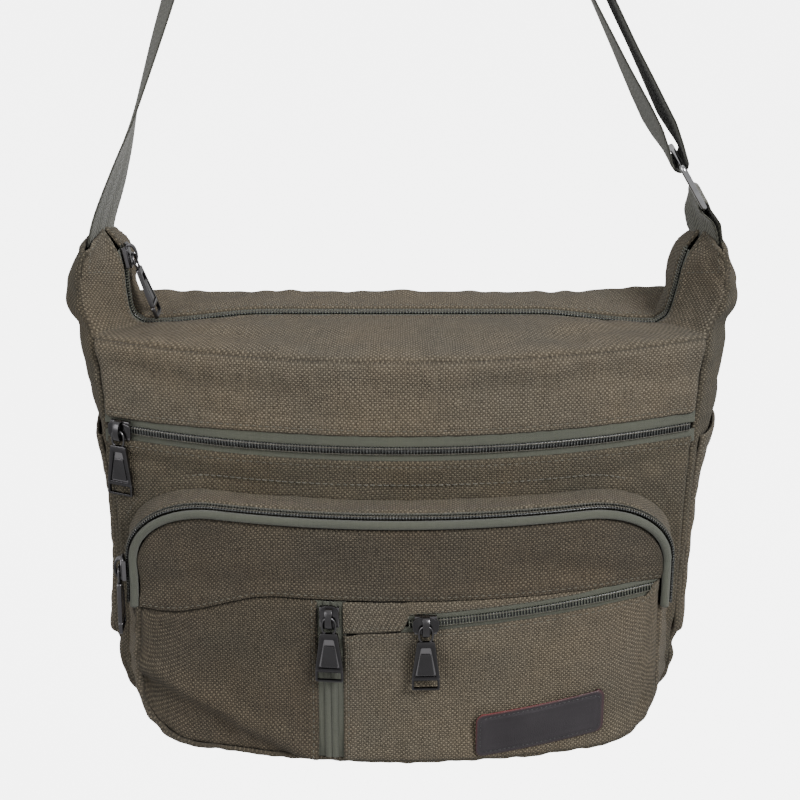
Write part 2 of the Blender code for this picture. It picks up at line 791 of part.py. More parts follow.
def pull_mesh():
    """The wire link and the tapering plate with its slot; the hinge is at the origin, along x."""
    wire = 0.0006
    plate_top = -0.0078
    plate_end = -0.0350
    parts = [
        ((-0.0038, -wire, -wire), (0.0038, wire, wire)),
        ((-0.0038, -wire, -0.0088), (-0.0026, wire, wire)),
        ((0.0026, -wire, -0.0088), (0.0038, wire, wire)),
    ]
    link = solid_from(parts=parts + [((-0.0038, -wire, -0.0092), (0.0038, wire, -0.0070))])
    outer = [(-0.0044, plate_top), (0.0044, plate_top), (0.0074, plate_end + 0.0015),
             (0.0060, plate_end), (-0.0060, plate_end), (-0.0074, plate_end + 0.0015)]
    slot = [(-0.0020, -0.0265), (0.0020, -0.0265), (0.0032, -0.0300), (0.0028, -0.0318),
            (-0.0028, -0.0318), (-0.0032, -0.0300)]
    thick = 0.0010
    verts = []
    for depth in (-thick, thick):
        verts += [(x, depth, z) for x, z in outer]
        verts += [(x, depth, z) for x, z in slot]
    faces = []
    for k in range(6):
        m = (k + 1) % 6
        faces.append((k, m, 6 + m, 6 + k))
        faces.append((12 + k, 18 + k, 18 + m, 12 + m))
        faces.append((k, 12 + k, 12 + m, m))
        faces.append((6 + k, 6 + m, 18 + m, 18 + k))
    plate = mesh_of("plate", verts, faces)
    pair = []
    for mesh in (link, plate):
        obj = bpy.data.objects.new("pair", mesh)
        bpy.context.scene.collection.objects.link(obj)
        obj.hide_render = True
        pair.append(obj)
    joined = pair[0].modifiers.new("join", "BOOLEAN")
    joined.operation = "UNION"
    joined.solver = "EXACT"
    joined.object = pair[1]
    bpy.context.view_layer.update()
    graph = bpy.context.evaluated_depsgraph_get()
    made = bpy.data.meshes.new_from_object(pair[0].evaluated_get(graph))
    for obj in pair:
        bpy.data.objects.remove(obj, do_unlink=True)
    return made


PULL_BODY = pull_mesh()
PULL_OUT = 0.0047       # the hinge line's distance out from the coil's middle


def zip_hardware(word, at, out, body, lean=0.0, pivot=None):
    """A slider and its pull at a point of the coil; out is the outward direction there.
    The pull hangs down along the bag, leaning out by an angle where it needs room.
    A slider that follows a curved coil has its origin at the curve's centre, the pivot."""
    out = Vector(out).normalized()
    rise = Vector((0, 0, 1))
    rise = (rise - out * rise.dot(out)).normalized()
    across = out.cross(rise)
    frame = Matrix((across, out, rise)).transposed().to_4x4()
    at = Vector(at)
    slider = body.copy()
    slider.transform(Matrix.Translation(at) @ frame)
    add(f"{word}_zip_slider", slider, METAL, shade=False, origin=at if pivot is None else pivot)
    hinge = at + out * PULL_OUT
    pull = PULL_BODY.copy()
    pull.transform(Matrix.Translation(hinge) @ frame @ Matrix.Rotation(lean, 4, "X"))
    add(f"{word}_zip_pull", pull, METAL, shade=False, origin=hinge)


def coil_up(line, w, side_way):
    """The outward direction of a coil at w: square to its run and to its width."""
    along = Vector(line(w + 1e-3)) - Vector(line(w - 1e-3))
    return along.cross(Vector(side_way)).normalized()


MAIN_U = -0.960
main_out = coil_up(zip_line, MAIN_U, (0, 1, 0))
main_out *= 1 if main_out.x > 0 else -1
zip_hardware("main", zip_line(MAIN_U), main_out, SLIDER_UPRIGHT, lean=MAIN_LEAN)
UPPER_SLIDER_X = -0.1420
zip_hardware(
    "upper", front_at(UPPER_SLIDER_X, UPPER_ZIP_Z), cylinder_normal(UPPER_SLIDER_X), SLIDER_LEVEL,
    pivot=(0, front_profile(UPPER_ZIP_Z) + FRONT_RADIUS, UPPER_ZIP_Z),
)


def cargo_coil(w):
    return cargo_edge(True, w, 0.0056, 0.0053, 0, -0.0978)


CARGO_SLIDER_W = 0.0545
cargo_slider_at = cargo_coil(CARGO_SLIDER_W)
cargo_out = coil_up(cargo_coil, CARGO_SLIDER_W, (0, 1, 0))
cargo_out *= 1 if cargo_out.x < 0 else -1
zip_hardware(
    "cargo", cargo_slider_at, cargo_out, SLIDER_UPRIGHT,
)
zip_hardware(
    "vertical", face_at(VERTICAL_ZIP_X, 0.0955), cylinder_normal(VERTICAL_ZIP_X), SLIDER_UPRIGHT
)
small_slider_at = small_at(0.070, 0)
zip_hardware(
    "small", small_slider_at, cylinder_normal(small_slider_at[0]), SLIDER_LEVEL,
    pivot=(0, CARGO_Y + FRONT_RADIUS, small_zip_z(0)),
)
zip_hardware("back", (-0.1330, back_y(0, BACK_ZIP_Z), BACK_ZIP_Z), (0, 1, 0), SLIDER_LEVEL)


# ---------------------------------------------------------------- patch and side pockets
def patch_surface(s, t):
    x = 0.0400 + 0.0630 * s
    z = 0.0175 + 0.0185 * t + 0.0055 * s
    return face_at(x, z, 0.0018)


shell("leather_patch", patch_surface, 7, 3, (LEATHER, 0.45, 0.0), thick=0.0014)


def side_pocket(side, s, t):
    v = 0.36 + 0.36 * s
    q = 0.07 + 0.86 * t
    p = gusset(side, v, q)
    dv = gusset(side, v + 1e-4, q) - gusset(side, v - 1e-4, q)
    dq = gusset(side, v, q + 1e-4) - gusset(side, v, q - 1e-4)
    normal = np.cross(dv, dq)
    normal /= np.linalg.norm(normal)
    if normal[0] * side < 0:
        normal = -normal
    return p + normal * 0.0020


for side, word in ((-1, "left"), (1, "right")):
    shell(
        f"side_pocket_{word}", lambda s, t, side=side: side_pocket(side, s, t),
        9, 7, FABRIC, thick=0.0014, sign=side,
    )

# ---------------------------------------------------------------- strap, ring, tab and adjuster
ring_low = np.array((RING_LOW[0], 0, RING_LOW[1]))
ring_high = np.array((RING_HIGH[0], 0, RING_HIGH[1]))
top = np.array(STRAP_TOP)
TOP_RADIUS = 0.0180
arc_centre = top - np.array((0, 0, TOP_RADIUS + WEB_THICK / 2))


def tangent(point, side):
    """Where a straight leg from a point meets the arc at the top, on the given side."""
    gap = point - arc_centre
    dist = math.hypot(gap[0], gap[2])
    base = math.atan2(gap[2], gap[0])
    swing = math.acos(TOP_RADIUS / dist)
    angle = base + side * swing
    return angle, arc_centre + TOP_RADIUS * np.array((math.cos(angle), 0, math.sin(angle)))


def plane_normal(direction):
    return np.array((direction[2], 0, -direction[0]))


WRAP = RING_WIRE + STRAP_SLACK + WEB_THICK / 2
leg_dir = top - ring_high
leg_dir /= np.linalg.norm(leg_dir)
leg_in = -plane_normal(leg_dir)
leg_start = ring_high + leg_in * WRAP
right_angle, right_touch = tangent(leg_start, 1)
leg_dir = right_touch - leg_start
leg_dir /= np.linalg.norm(leg_dir)
leg_in = -plane_normal(leg_dir)
leg_start = ring_high + leg_in * WRAP

# How far the left leg is turned, at even steps between two heights.
TWIST = (0.19, 0.25, 0.13, -0.08, -0.19, -0.23, -0.26)
TWIST_Z = (0.2530, 0.4000)

# How far each of the right-hand bands is turned, by its distance from the ring.
LEG_TURN = (
    (0.1200, 0.0), (0.0900, 0.03), (0.0600, 0.09), (0.0470, 0.125),
    (0.0350, 0.15), (0.0200, 0.13), (0.0090, 0.05), (0.0020, 0.0),
)
TAIL_TURN = (
    (0.0006, 0.0), (0.0090, 0.04), (0.0200, 0.10), (0.0350, 0.09),
    (0.0600, 0.08), (0.1600, 0.08), (0.2050, 0.0),
)


def twist(z):
    """How far the left leg's width turns out of the strap's plane, by height."""
    if z < TWIST_Z[1]:
        share = (z - TWIST_Z[0]) / (TWIST_Z[1] - TWIST_Z[0])
        return float(curve_through([(k,) for k in TWIST], share)[0])
    return TWIST[-1] * (1 - smooth(TWIST_Z[1], left_touch[2] - 0.005, z))


LEFT_PATH = ((-0.1545, 0.2530), (-0.1525, 0.2680), (-0.1450, 0.2900), (-0.1365, 0.3150), (-0.1285, 0.3400))
left_top = np.array((LEFT_PATH[-1][0], 0, LEFT_PATH[-1][1]))
left_angle, left_touch = tangent(left_top, -1)
path = []
across = []
for i in range(9):
    x, z = curve_through(LEFT_PATH, i / 8)
    path.append(np.array((x, 0, z)))
    across.append(np.array((-twist(z), -1, 0)))
for i in range(1, 9):
    path.append(left_top + (left_touch - left_top) * i / 9)
    across.append(np.array((-twist(path[-1][2]), -1, 0)))
path.append(left_touch)
across.append(np.array((0, -1, 0)))
right_angle = right_angle % (2 * math.pi)
left_angle = left_angle % (2 * math.pi)
for i in range(1, 12):
    a = left_angle + (right_angle - left_angle) * i / 12
    path.append(arc_centre + TOP_RADIUS * np.array((math.cos(a), 0, math.sin(a))))
    across.append(np.array((0, -1, 0)))
path.append(right_touch)
across.append(np.array((0, -1, 0)))
for up, turn in LEG_TURN:
    path.append(leg_start + leg_dir * up)
    across.append(np.array((turn, -1, 0)))
for i in range(0, 9):
    a = math.pi * i / 8
    path.append(ring_high + WRAP * (leg_in * math.cos(a) - leg_dir * math.sin(a)))
    across.append(np.array((0, -1, 0)))
ribbon("strap_webbing", path, across, rounded(2 * WEB_HALF, WEB_THICK, 0.0004, 1), WEB)

tail_from = ring_high - leg_in * WRAP
tail_length = ADJUSTER_AT
tail_path = []
tail_across = []
for up, turn in TAIL_TURN:
    tail_path.append(tail_from + leg_dir * up)
    tail_across.append(np.array((turn, -1, 0)))
tail_path.append(tail_from + leg_dir * (tail_length - 0.008))
tail_across.append(np.array((0, -1, 0)))
ribbon(
    "strap_tail", tail_path, tail_across,
    rounded(2 * WEB_HALF, WEB_THICK, 0.0004, 1), WEB,
)


def strap_frame(origin, along, out):
    """A frame in the strap's own directions: along the leg, across it and out of it."""
    frame = Matrix((Vector(along), Vector((0, 1, 0)), Vector(out))).transposed().to_4x4()
    return Matrix.Translation(Vector(origin)) @ frame


RAIL_IN = WEB_HALF + 0.0010
RAIL_OUT = WEB_HALF + 0.0040
main_level = WRAP                     # the webbing's middle, measured from the bar's centre line
parts = [
    ((-0.0140, -RAIL_OUT, main_level - 0.0040), (0.0140, -RAIL_IN, main_level + 0.0035)),
    ((-0.0140, RAIL_IN, main_level - 0.0040), (0.0140, RAIL_OUT, main_level + 0.0035)),
    ((-0.0140, -RAIL_OUT, main_level + 0.0011), (-0.0110, RAIL_OUT, main_level + 0.0033)),
    ((0.0110, -RAIL_OUT, main_level + 0.0011), (0.0140, RAIL_OUT, main_level + 0.0033)),
    ((-0.0015, -RAIL_OUT, main_level - 0.0036), (0.0015, RAIL_OUT, main_level - 0.0012)),
]
glide = solid_from(parts=parts)
glide_at = ring_high + leg_dir * ADJUSTER_AT
glide.transform(strap_frame(glide_at, leg_dir, leg_in))
add("strap_adjuster", glide, METAL, shade=False, origin=glide_at)


def ring_path():
    """The centre line of the rectangular ring, with rounded corners."""
    along = ring_high - ring_low
    length = np.linalg.norm(along)
    along /= length
    half = WEB_HALF + 0.0026
    middle = (ring_high + ring_low) / 2
    points = []
    for a, b in rounded(2 * half, length, 0.0030, 3):
        points.append(middle + np.array((0, 1, 0)) * a + along * b)
    return points


loop = ring_path()
rings = []
for i, here in enumerate(loop):
    ahead = loop[(i + 1) % len(loop)] - loop[i - 1]
    ahead /= np.linalg.norm(ahead)
    normal = plane_normal((ring_high - ring_low) / np.linalg.norm(ring_high - ring_low))
    other = np.cross(ahead, normal)
    rings.append(
        [
            RING_WIRE * (normal * math.cos(k * math.pi / 4) + other * math.sin(k * math.pi / 4))
            for k in range(8)
        ]
    )
add(
    "strap_ring", mesh_of("strap_ring", *sweep(loop, rings, closed=True)), (CHROME, 0.15, 1.0),
    origin=ring_low,
)

# The tab: a folded end of webbing that holds the ring and disappears into the right wing.
TAB_WRAP = RING_WIRE + 0.0003 + WEB_THICK / 2
tab_foot = np.array((0.1545, 0, 0.2530))
tab_up = ring_low - tab_foot
tab_up /= np.linalg.norm(tab_up)
tab_side = plane_normal(tab_up)
tab_path = []
tab_across = []
for i in range(5):
    k = i / 4
    spread = 0.0011 + (TAB_WRAP - 0.0011) * smooth(0.45, 1.0, k)
    tab_path.append(tab_foot + (ring_low - tab_foot) * k - tab_side * spread)
    tab_across.append(np.array((0.20 * (1 - smooth(0.3, 1.0, k)), -1, 0)))
for i in range(1, 8):
    a = math.pi * i / 8
    tab_path.append(ring_low + TAB_WRAP * (-tab_side * math.cos(a) + tab_up * math.sin(a)))
    tab_across.append(np.array((0, -1, 0)))
for i in range(5):
    k = 1 - i / 4
    spread = 0.0011 + (TAB_WRAP - 0.0011) * smooth(0.45, 1.0, k)
    tab_path.append(tab_foot + (ring_low - tab_foot) * k + tab_side * spread)
    tab_across.append(np.array((0.20 * (1 - smooth(0.3, 1.0, k)), -1, 0)))
ribbon("strap_tab", tab_path, tab_across, rounded(2 * WEB_HALF, WEB_THICK, 0.0004, 1), WEB)
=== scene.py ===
"""The looks of a canvas messenger bag that hangs by its shoulder strap.

Shapes are drawn in the bag's own frame (X to the right, Y to the back, Z up from the base), as the
CAD model is, and every finished mesh is then moved so that the strap's top is the origin.
"""

import math

import bmesh
import bpy
import numpy as np
from mathutils import Matrix, Vector


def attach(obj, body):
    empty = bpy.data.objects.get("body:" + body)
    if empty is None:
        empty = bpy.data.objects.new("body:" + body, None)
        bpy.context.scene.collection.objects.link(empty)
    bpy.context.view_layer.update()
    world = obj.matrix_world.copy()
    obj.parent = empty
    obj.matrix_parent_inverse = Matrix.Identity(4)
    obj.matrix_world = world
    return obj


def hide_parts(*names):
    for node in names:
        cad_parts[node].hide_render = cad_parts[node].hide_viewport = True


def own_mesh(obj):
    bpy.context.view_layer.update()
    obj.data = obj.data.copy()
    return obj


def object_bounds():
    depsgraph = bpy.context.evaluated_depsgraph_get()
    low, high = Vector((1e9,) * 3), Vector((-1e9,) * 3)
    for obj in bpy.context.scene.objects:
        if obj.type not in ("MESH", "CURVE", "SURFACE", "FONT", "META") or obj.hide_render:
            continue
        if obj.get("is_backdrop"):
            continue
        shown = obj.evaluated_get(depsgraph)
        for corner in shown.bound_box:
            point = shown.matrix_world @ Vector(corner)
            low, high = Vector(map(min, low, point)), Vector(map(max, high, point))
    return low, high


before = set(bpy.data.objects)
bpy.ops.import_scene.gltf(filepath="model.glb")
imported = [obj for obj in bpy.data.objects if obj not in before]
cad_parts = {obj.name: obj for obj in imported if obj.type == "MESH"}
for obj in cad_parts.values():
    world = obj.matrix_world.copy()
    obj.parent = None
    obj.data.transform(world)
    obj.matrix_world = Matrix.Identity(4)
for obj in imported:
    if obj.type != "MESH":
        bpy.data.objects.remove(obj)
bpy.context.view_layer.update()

# ---------------------------------------------------------------- dimensions shared with the frame (metres)
STRAP_TOP = np.array((-0.0277, 0.0, 0.6000))
FRONT_RADIUS = 0.36
BODY_TOP = 0.2175
CORNER_RADIUS = 0.042
CLOTH = 0.0020
POCKET_CLOTH = 0.0016
FRONT_STITCH = 0.0032          # how far each part's topstitching lies from its hem's edge
BACK_STITCH = 0.0030
TOP_STITCH = 0.0028
CARGO_STITCH = 0.0026
ZIP_HALF = 0.0022
UPPER_ZIP_Z = 0.1725
UPPER_TAPE = (0.1648, 0.1818)
CARGO_Y = -0.1000
CARGO_HALF = 0.1330
CARGO_Z = (0.0105, 0.1437)
CARGO_R = (0.030, 0.030)
CARGO_WIDE = 0.012
CARGO_SPLIT = 0.088
VERTICAL_ZIP_X = -0.0350
VERTICAL_ZIP_HALF = 0.0072
VERTICAL_Z = (0.0125, 0.1030)
SMALL_ZIP_TILT = 0.075
SMALL_ZIP_X = (0.0040, 0.1290)
BACK_ZIP_Z = 0.150
MAIN_LEAN = math.radians(9)
WEB_HALF = 0.0190
WEB_THICK = 0.0014
RING_LOW = (0.1522, 0.2830)
RING_HIGH = (0.1395, 0.3045)
RING_WIRE = 0.0015
STRAP_SLACK = 0.0017
ADJUSTER_AT = 0.240
TOP_RADIUS = 0.0180

# ---------------------------------------------------------------- camera
CAMERA_AT = (0.0277, -0.93682, -0.05012)
CAMERA_PITCH = math.radians(22)
LENS_MM = 85.5
SENSOR_MM = 36


def shown(name, data):
    """A new object in the scene."""
    obj = bpy.data.objects.new(name, data)
    bpy.context.scene.collection.objects.link(obj)
    return obj


camera_data = bpy.data.cameras.new("camera")
camera_data.lens = LENS_MM
camera_data.sensor_width = SENSOR_MM
camera = shown("camera", camera_data)
camera.location = CAMERA_AT
camera.rotation_euler = (math.pi / 2 - CAMERA_PITCH, 0, 0)
bpy.context.scene.camera = camera


# ---------------------------------------------------------------- small helpers
def smooth(a, b, x):
    t = np.clip((np.asarray(x, float) - a) / (b - a), 0.0, 1.0)
    return t * t * (3 - 2 * t)


def curve_through(points, t):
    """A smooth curve through evenly numbered points, t from 0 to 1."""
    points = [np.array(p, float) for p in points]
    n = len(points) - 1
    f = min(max(t, 0.0), 1.0) * n
    i = min(int(f), n - 1)
    f -= i
    p1 = points[i]
    p2 = points[i + 1]
    p0 = points[i - 1] if i > 0 else 2 * p1 - p2
    p3 = points[i + 2] if i + 2 <= n else 2 * p2 - p1
    return 0.5 * (
        2 * p1 + (p2 - p0) * f + (2 * p0 - 5 * p1 + 4 * p2 - p3) * f * f
        + (3 * p1 - p0 - 3 * p2 + p3) * f ** 3
    )


def unit(v):
    v = np.asarray(v, float)
    return v / (np.linalg.norm(v, axis=-1, keepdims=True) + 1e-15)


def signed_power(value, power):
    return math.copysign(abs(value) ** power, value)


def lengths(points):
    """The distance along a line of points, from its first point to each of them."""
    return np.concatenate([[0], np.cumsum(np.linalg.norm(np.diff(points, axis=0), axis=1))])


def sampled(at, run, values):
    """Points or directions, known at the distances run, read at other distances."""
    return np.stack([np.interp(at, run, values[:, c]) for c in range(3)], 1)


def grid_cross(points):
    """The cross product of a grid's two directions, at each of its points."""
    return np.cross(np.gradient(points, axis=0), np.gradient(points, axis=1))


def skin(count, sides, closed=False, base=0):
    """The faces between successive rings of points, each with the same number of sides."""
    faces = []
    for k in range(count if closed else count - 1):
        n = (k + 1) % count
        for m in range(sides):
            q = (m + 1) % sides
            corners = (k * sides + m, k * sides + q, n * sides + q, n * sides + m)
            faces.append(tuple(base + corner for corner in corners))
    return faces


def ripple(a, b, size, seed, waves=7):
    """Soft, uneven waves over a plane, about -1 to 1, with features of the given size."""
    random = np.random.default_rng(seed)
    total = np.zeros(np.broadcast(a, b).shape)
    for _ in range(waves):
        turn = random.uniform(0, 2 * math.pi)
        rate = 2 * math.pi / (size * random.uniform(0.7, 1.6))
        phase = random.uniform(0, 2 * math.pi)
        total = total + np.sin((a * math.cos(turn) + b * math.sin(turn)) * rate + phase)
    return total / math.sqrt(waves) / 1.3


def slumped(p):
    """The filled bag out of its pattern: the back's top rises to its ends, and the left foot hangs fuller."""
    x, y, z = p.T
    end = 0.0045 * smooth(0.085, 0.145, x) + 0.0022 * smooth(0.085, 0.145, -x)
    rise = end * smooth(0.012, 0.034, y) * np.exp(-(((z - BODY_TOP) / 0.022) ** 2))
    foot = smooth(0.105, 0.150, -x) * smooth(0.105, 0.050, z)
    drop = 0.0036 * smooth(0.090, 0.135, -x) * (1 - smooth(0.000, 0.050, z))
    return np.stack([x - 0.0030 * foot, y, z + rise - drop], 1)


def tied(name, mesh, body, nodes):
    """A piece that rides on a body, takes a finish and stands for the CAD nodes that it replaces."""
    obj = shown(name, mesh)
    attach(obj, body)
    if nodes:
        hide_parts(*nodes)
    return obj


def put(name, verts, faces, look, body, thread=None, shade=None, nodes=()):
    """Makes a piece from points in the bag's frame and ties it to a body."""
    verts = slumped(np.asarray(verts, float).reshape(-1, 3)) - STRAP_TOP
    mesh = bpy.data.meshes.new(name)
    mesh.from_pydata(verts.tolist(), [], faces)
    mesh.update()
    if thread is not None:
        layer = mesh.attributes.new("thread", "FLOAT_VECTOR", "POINT")
        flat = np.zeros((len(verts), 3), np.float32)
        flat[:, :2] = np.asarray(thread, np.float32).reshape(-1, 2)
        layer.data.foreach_set("vector", flat.ravel())
    if shade is not None:
        layer = mesh.attributes.new("seam_shade_and_edge_paint", "FLOAT", "POINT")
        layer.data.foreach_set("value", np.asarray(shade, np.float32).ravel())
    mesh.materials.append(look)
    for polygon in mesh.polygons:
        polygon.use_smooth = True
    return tied(name, mesh, body, nodes)


# ---------------------------------------------------------------- materials
class Graph:
    """Short names for building a node tree."""

    def __init__(self, name, colour, roughness, metallic=0.0, **settings):
        self.material = bpy.data.materials.new(name)
        self.material.use_nodes = True
        self.nodes = self.material.node_tree.nodes
        self.links = self.material.node_tree.links
        self.shader = self.nodes["Principled BSDF"]
        self.set("Base Color", (*colour, 1))
        self.set("Roughness", roughness)
        self.set("Metallic", metallic)
        for key, value in settings.items():
            self.set(key.replace("_", " ").title().replace("Ior", "IOR"), value)

    def set(self, socket, value):
        self.shader.inputs[socket].default_value = value

    def wire(self, source, target):
        self.links.new(source, target)

    def math(self, operation, a, b=None, clamp=False):
        node = self.nodes.new("ShaderNodeMath")
        node.operation = operation
        node.use_clamp = clamp
        for k, value in enumerate((a, b)):
            if value is None:
                continue
            if isinstance(value, (int, float)):
                node.inputs[k].default_value = value
            else:
                self.wire(value, node.inputs[k])
        return node.outputs[0]

    def node(self, kind, output=0, **inputs):
        """A new node's output, with the node's inputs wired or set to values."""
        node = self.nodes.new("ShaderNode" + kind)
        for key, value in inputs.items():
            socket = node.inputs[key.replace("_", " ")]
            if isinstance(value, bpy.types.NodeSocket):
                self.wire(value, socket)
            else:
                socket.default_value = value
        return node.outputs[output]

    def vector_math(self, operation, a, b):
        node = self.nodes.new("ShaderNodeVectorMath")
        node.operation = operation
        self.wire(a, node.inputs[0])
        if isinstance(b, tuple):
            node.inputs[1].default_value = b
        else:
            self.wire(b, node.inputs[1])
        return node.outputs[0]

    def stretch(self, vector, scale):
        return self.vector_math("MULTIPLY", vector, scale)

    def split(self, vector):
        node = self.nodes.new("ShaderNodeSeparateXYZ")
        self.wire(vector, node.inputs[0])
        return node.outputs

    def attribute(self, name, output):
        node = self.nodes.new("ShaderNodeAttribute")
        node.attribute_name = name
        return node.outputs[output]

    def place(self):
        return self.node("TexCoord", "Object")

    def noise(self, vector, scale, detail=3.0, roughness=0.5):
        return self.node("TexNoise", "Fac", Vector=vector, Scale=scale, Detail=detail, Roughness=roughness)

    def cells(self, vector, scale):
        return self.node("TexVoronoi", "Distance", Vector=vector, Scale=scale)

    def between(self, value, low, high, to_low=0.0, to_high=1.0):
        return self.node("MapRange", Value=value, From_Min=low, From_Max=high, To_Min=to_low, To_Max=to_high)

    def ramp(self, value, stops):
        node = self.nodes.new("ShaderNodeValToRGB")
        self.wire(value, node.inputs[0])
        elements = node.color_ramp.elements
        while len(elements) < len(stops):
            elements.new(0.5)
        for element, (at, colour) in zip(elements, stops):
            element.position = at
            element.color = (*colour, 1)
        return node.outputs[0]

    def blend(self, factor, a, b, mode="MIX"):
        node = self.nodes.new("ShaderNodeMix")
        node.data_type = "RGBA"
        node.blend_type = mode
        node.clamp_factor = True
        sockets = (node.inputs[0], node.inputs[6], node.inputs[7])
        for socket, value in zip(sockets, (factor, a, b)):
            if isinstance(value, (int, float)):
                socket.default_value = value
            elif isinstance(value, tuple):
                socket.default_value = (*value, 1)
            else:
                self.wire(value, socket)
        return node.outputs[2]

    def bump(self, height, distance, strength=1.0, under=None):
        below = {} if under is None else {"Normal": under}
        return self.node("Bump", Strength=strength, Distance=distance, Height=height, **below)

    def colour(self, output):
        self.wire(output, self.shader.inputs["Base Color"])

    def rough(self, output):
        self.wire(output, self.shader.inputs["Roughness"])

    def normal(self, output):
        self.wire(output, self.shader.inputs["Normal"])


def scaled(colour, by):
    return tuple(c * by for c in colour)


def woven(name, colour, pitch, contrast=1.0, depth=0.00035, mottle=1.0, sheen=0.15, warm=(1.06, 0.985, 0.90)):
    """A plain weave of uneven threads; its coordinates run along the threads in metres."""
    g = Graph(name, colour, 0.92, specular_ior_level=0.18, sheen_weight=sheen, sheen_roughness=0.6)
    threads = g.attribute("thread", "Vector")
    drift = g.noise(threads, 90.0, 2.0)
    nudged = g.vector_math("ADD", threads, g.stretch(drift, (0.0022, 0.0018, 0.0)))
    a, b, _ = g.split(g.stretch(nudged, (math.pi / pitch, math.pi / pitch, 0)))
    wave = g.math("MULTIPLY", g.math("SINE", a), g.math("SINE", b))
    cell = g.math("POWER", g.math("ABSOLUTE", wave), 0.6)
    over = g.between(wave, -0.9, 0.9)
    warp = g.noise(g.stretch(threads, (1 / pitch, 1 / 0.011, 0)), 1.0, 2.0, 0.6)
    weft = g.noise(g.stretch(threads, (1 / 0.011, 1 / pitch, 0)), 1.0, 2.0, 0.6)
    which = g.math("GREATER_THAN", wave, 0.0)
    tone = g.blend(which, warp, weft)
    fibre = g.noise(threads, 2600.0, 2.0)
    height = g.math("MULTIPLY", cell, g.between(tone, 0.25, 0.75, 0.55, 1.25))
    height = g.math("ADD", height, g.math("MULTIPLY", fibre, 0.25))
    light = g.math("ADD", g.between(tone, 0.32, 0.68, -0.20, 0.20), g.between(cell, 0.0, 1.0, -0.22, 0.14))
    light = g.math("ADD", light, g.between(over, 0.0, 1.0, 0.22, 0.78))
    light = g.math("ADD", light, g.between(fibre, 0.3, 0.7, -0.07, 0.07), clamp=True)
    low = scaled(colour, 1 - 0.62 * contrast)
    high = scaled(colour, 1 + 0.95 * contrast)
    body = g.ramp(light, ((0.0, low), (0.5, colour), (1.0, high)))
    patches = g.noise(g.place(), 14.0, 4.0, 0.62)
    aged = g.blend(g.between(patches, 0.35, 0.68), scaled((1, 1, 1), 1 - 0.16 * mottle), warm)
    body = g.blend(1.0, body, aged, "MULTIPLY")
    # Painted shade: the cloth darkens toward a quarter of its colour along seams, hem folds, stitch grooves
    # and the vertical zip's slits.
    seam_shade_and_edge_paint = g.attribute("seam_shade_and_edge_paint", "Fac")
    body = g.blend(g.math("MULTIPLY", seam_shade_and_edge_paint, 0.62, clamp=True), body, scaled(colour, 0.25))
    g.colour(body)
    g.rough(g.between(height, 0.0, 1.0, 0.97, 0.86))
    broad = g.bump(patches, 0.0012, 0.35)
    g.normal(g.bump(height, depth, 0.85, broad))
    return g.material


CANVAS = (0.102, 0.0885, 0.0655)
GREEN = (0.073, 0.077, 0.060)
# The dark and shaded canvases are darker copies of the same canvas: painted shade for the pieces that lie in
# shade.
CANVAS_DEEP_SHADE = (0.066, 0.0560, 0.0405)
CANVAS_SHADED = (0.076, 0.0665, 0.0480)
CANVAS_WEAVE = {"pitch": 0.00118, "depth": 0.00060}
canvas = woven("canvas", CANVAS, contrast=1.15, sheen=0.04, **CANVAS_WEAVE)
deep_shade_canvas = woven("canvas_deep_shade", CANVAS_DEEP_SHADE, contrast=1.2, sheen=0.03, **CANVAS_WEAVE)
shaded_canvas = woven("canvas_shaded", CANVAS_SHADED, contrast=1.15, sheen=0.03, **CANVAS_WEAVE)
tape = woven("zip_tape", GREEN, 0.00030, contrast=0.5, depth=0.00012, mottle=0.5, warm=(1.03, 1.02, 0.96))
lining = woven("lining", (0.030, 0.029, 0.025), 0.0004, contrast=0.5, depth=0.0001, mottle=0.4)


def make_thread(name, colour, roughness, low, high, **settings):
    g = Graph(name, colour, roughness, sheen_weight=0.2, **settings)
    twist = g.noise(g.place(), 900.0, 2.0)
    g.colour(g.ramp(twist, ((0.3, low), (0.7, high))))
    g.normal(g.bump(twist, 0.0001, 0.6))
    return g.material


def make_coil(name, colour):
    g = Graph(name, colour, 0.30, specular_ior_level=0.75)
    grain = g.noise(g.place(), 350.0, 2.0)
    g.colour(g.ramp(grain, ((0.3, scaled(colour, 0.7)), (0.75, scaled(colour, 1.35)))))
    g.rough(g.between(grain, 0.3, 0.7, 0.20, 0.34))
    return g.material


def make_metal(name, colour, rough_low, rough_high, rub_and_highlight, bright):
    g = Graph(name, colour, rough_low, 1.0)
    here = g.place()
    haze = g.noise(here, 130.0, 4.0, 0.6)
    scratch = g.noise(g.stretch(here, (260.0, 260.0, 2400.0)), 1.0, 2.0)
    # Sharp edges are drawn toward a bright colour: partly rubbed plating, partly a painted highlight.
    rubbed_and_highlit_edges = g.between(g.node("NewGeometry", "Pointiness"), 0.52, 0.60)
    plain = g.ramp(haze, ((0.3, scaled(colour, 0.8)), (0.7, scaled(colour, 1.2))))
    g.colour(g.blend(g.math("MULTIPLY", rubbed_and_highlit_edges, rub_and_highlight), plain, bright))
    g.rough(g.between(haze, 0.3, 0.7, rough_low, rough_high))
    g.normal(g.bump(scratch, 0.00003, 0.25, g.bump(haze, 0.00008, 0.3)))
    return g.material


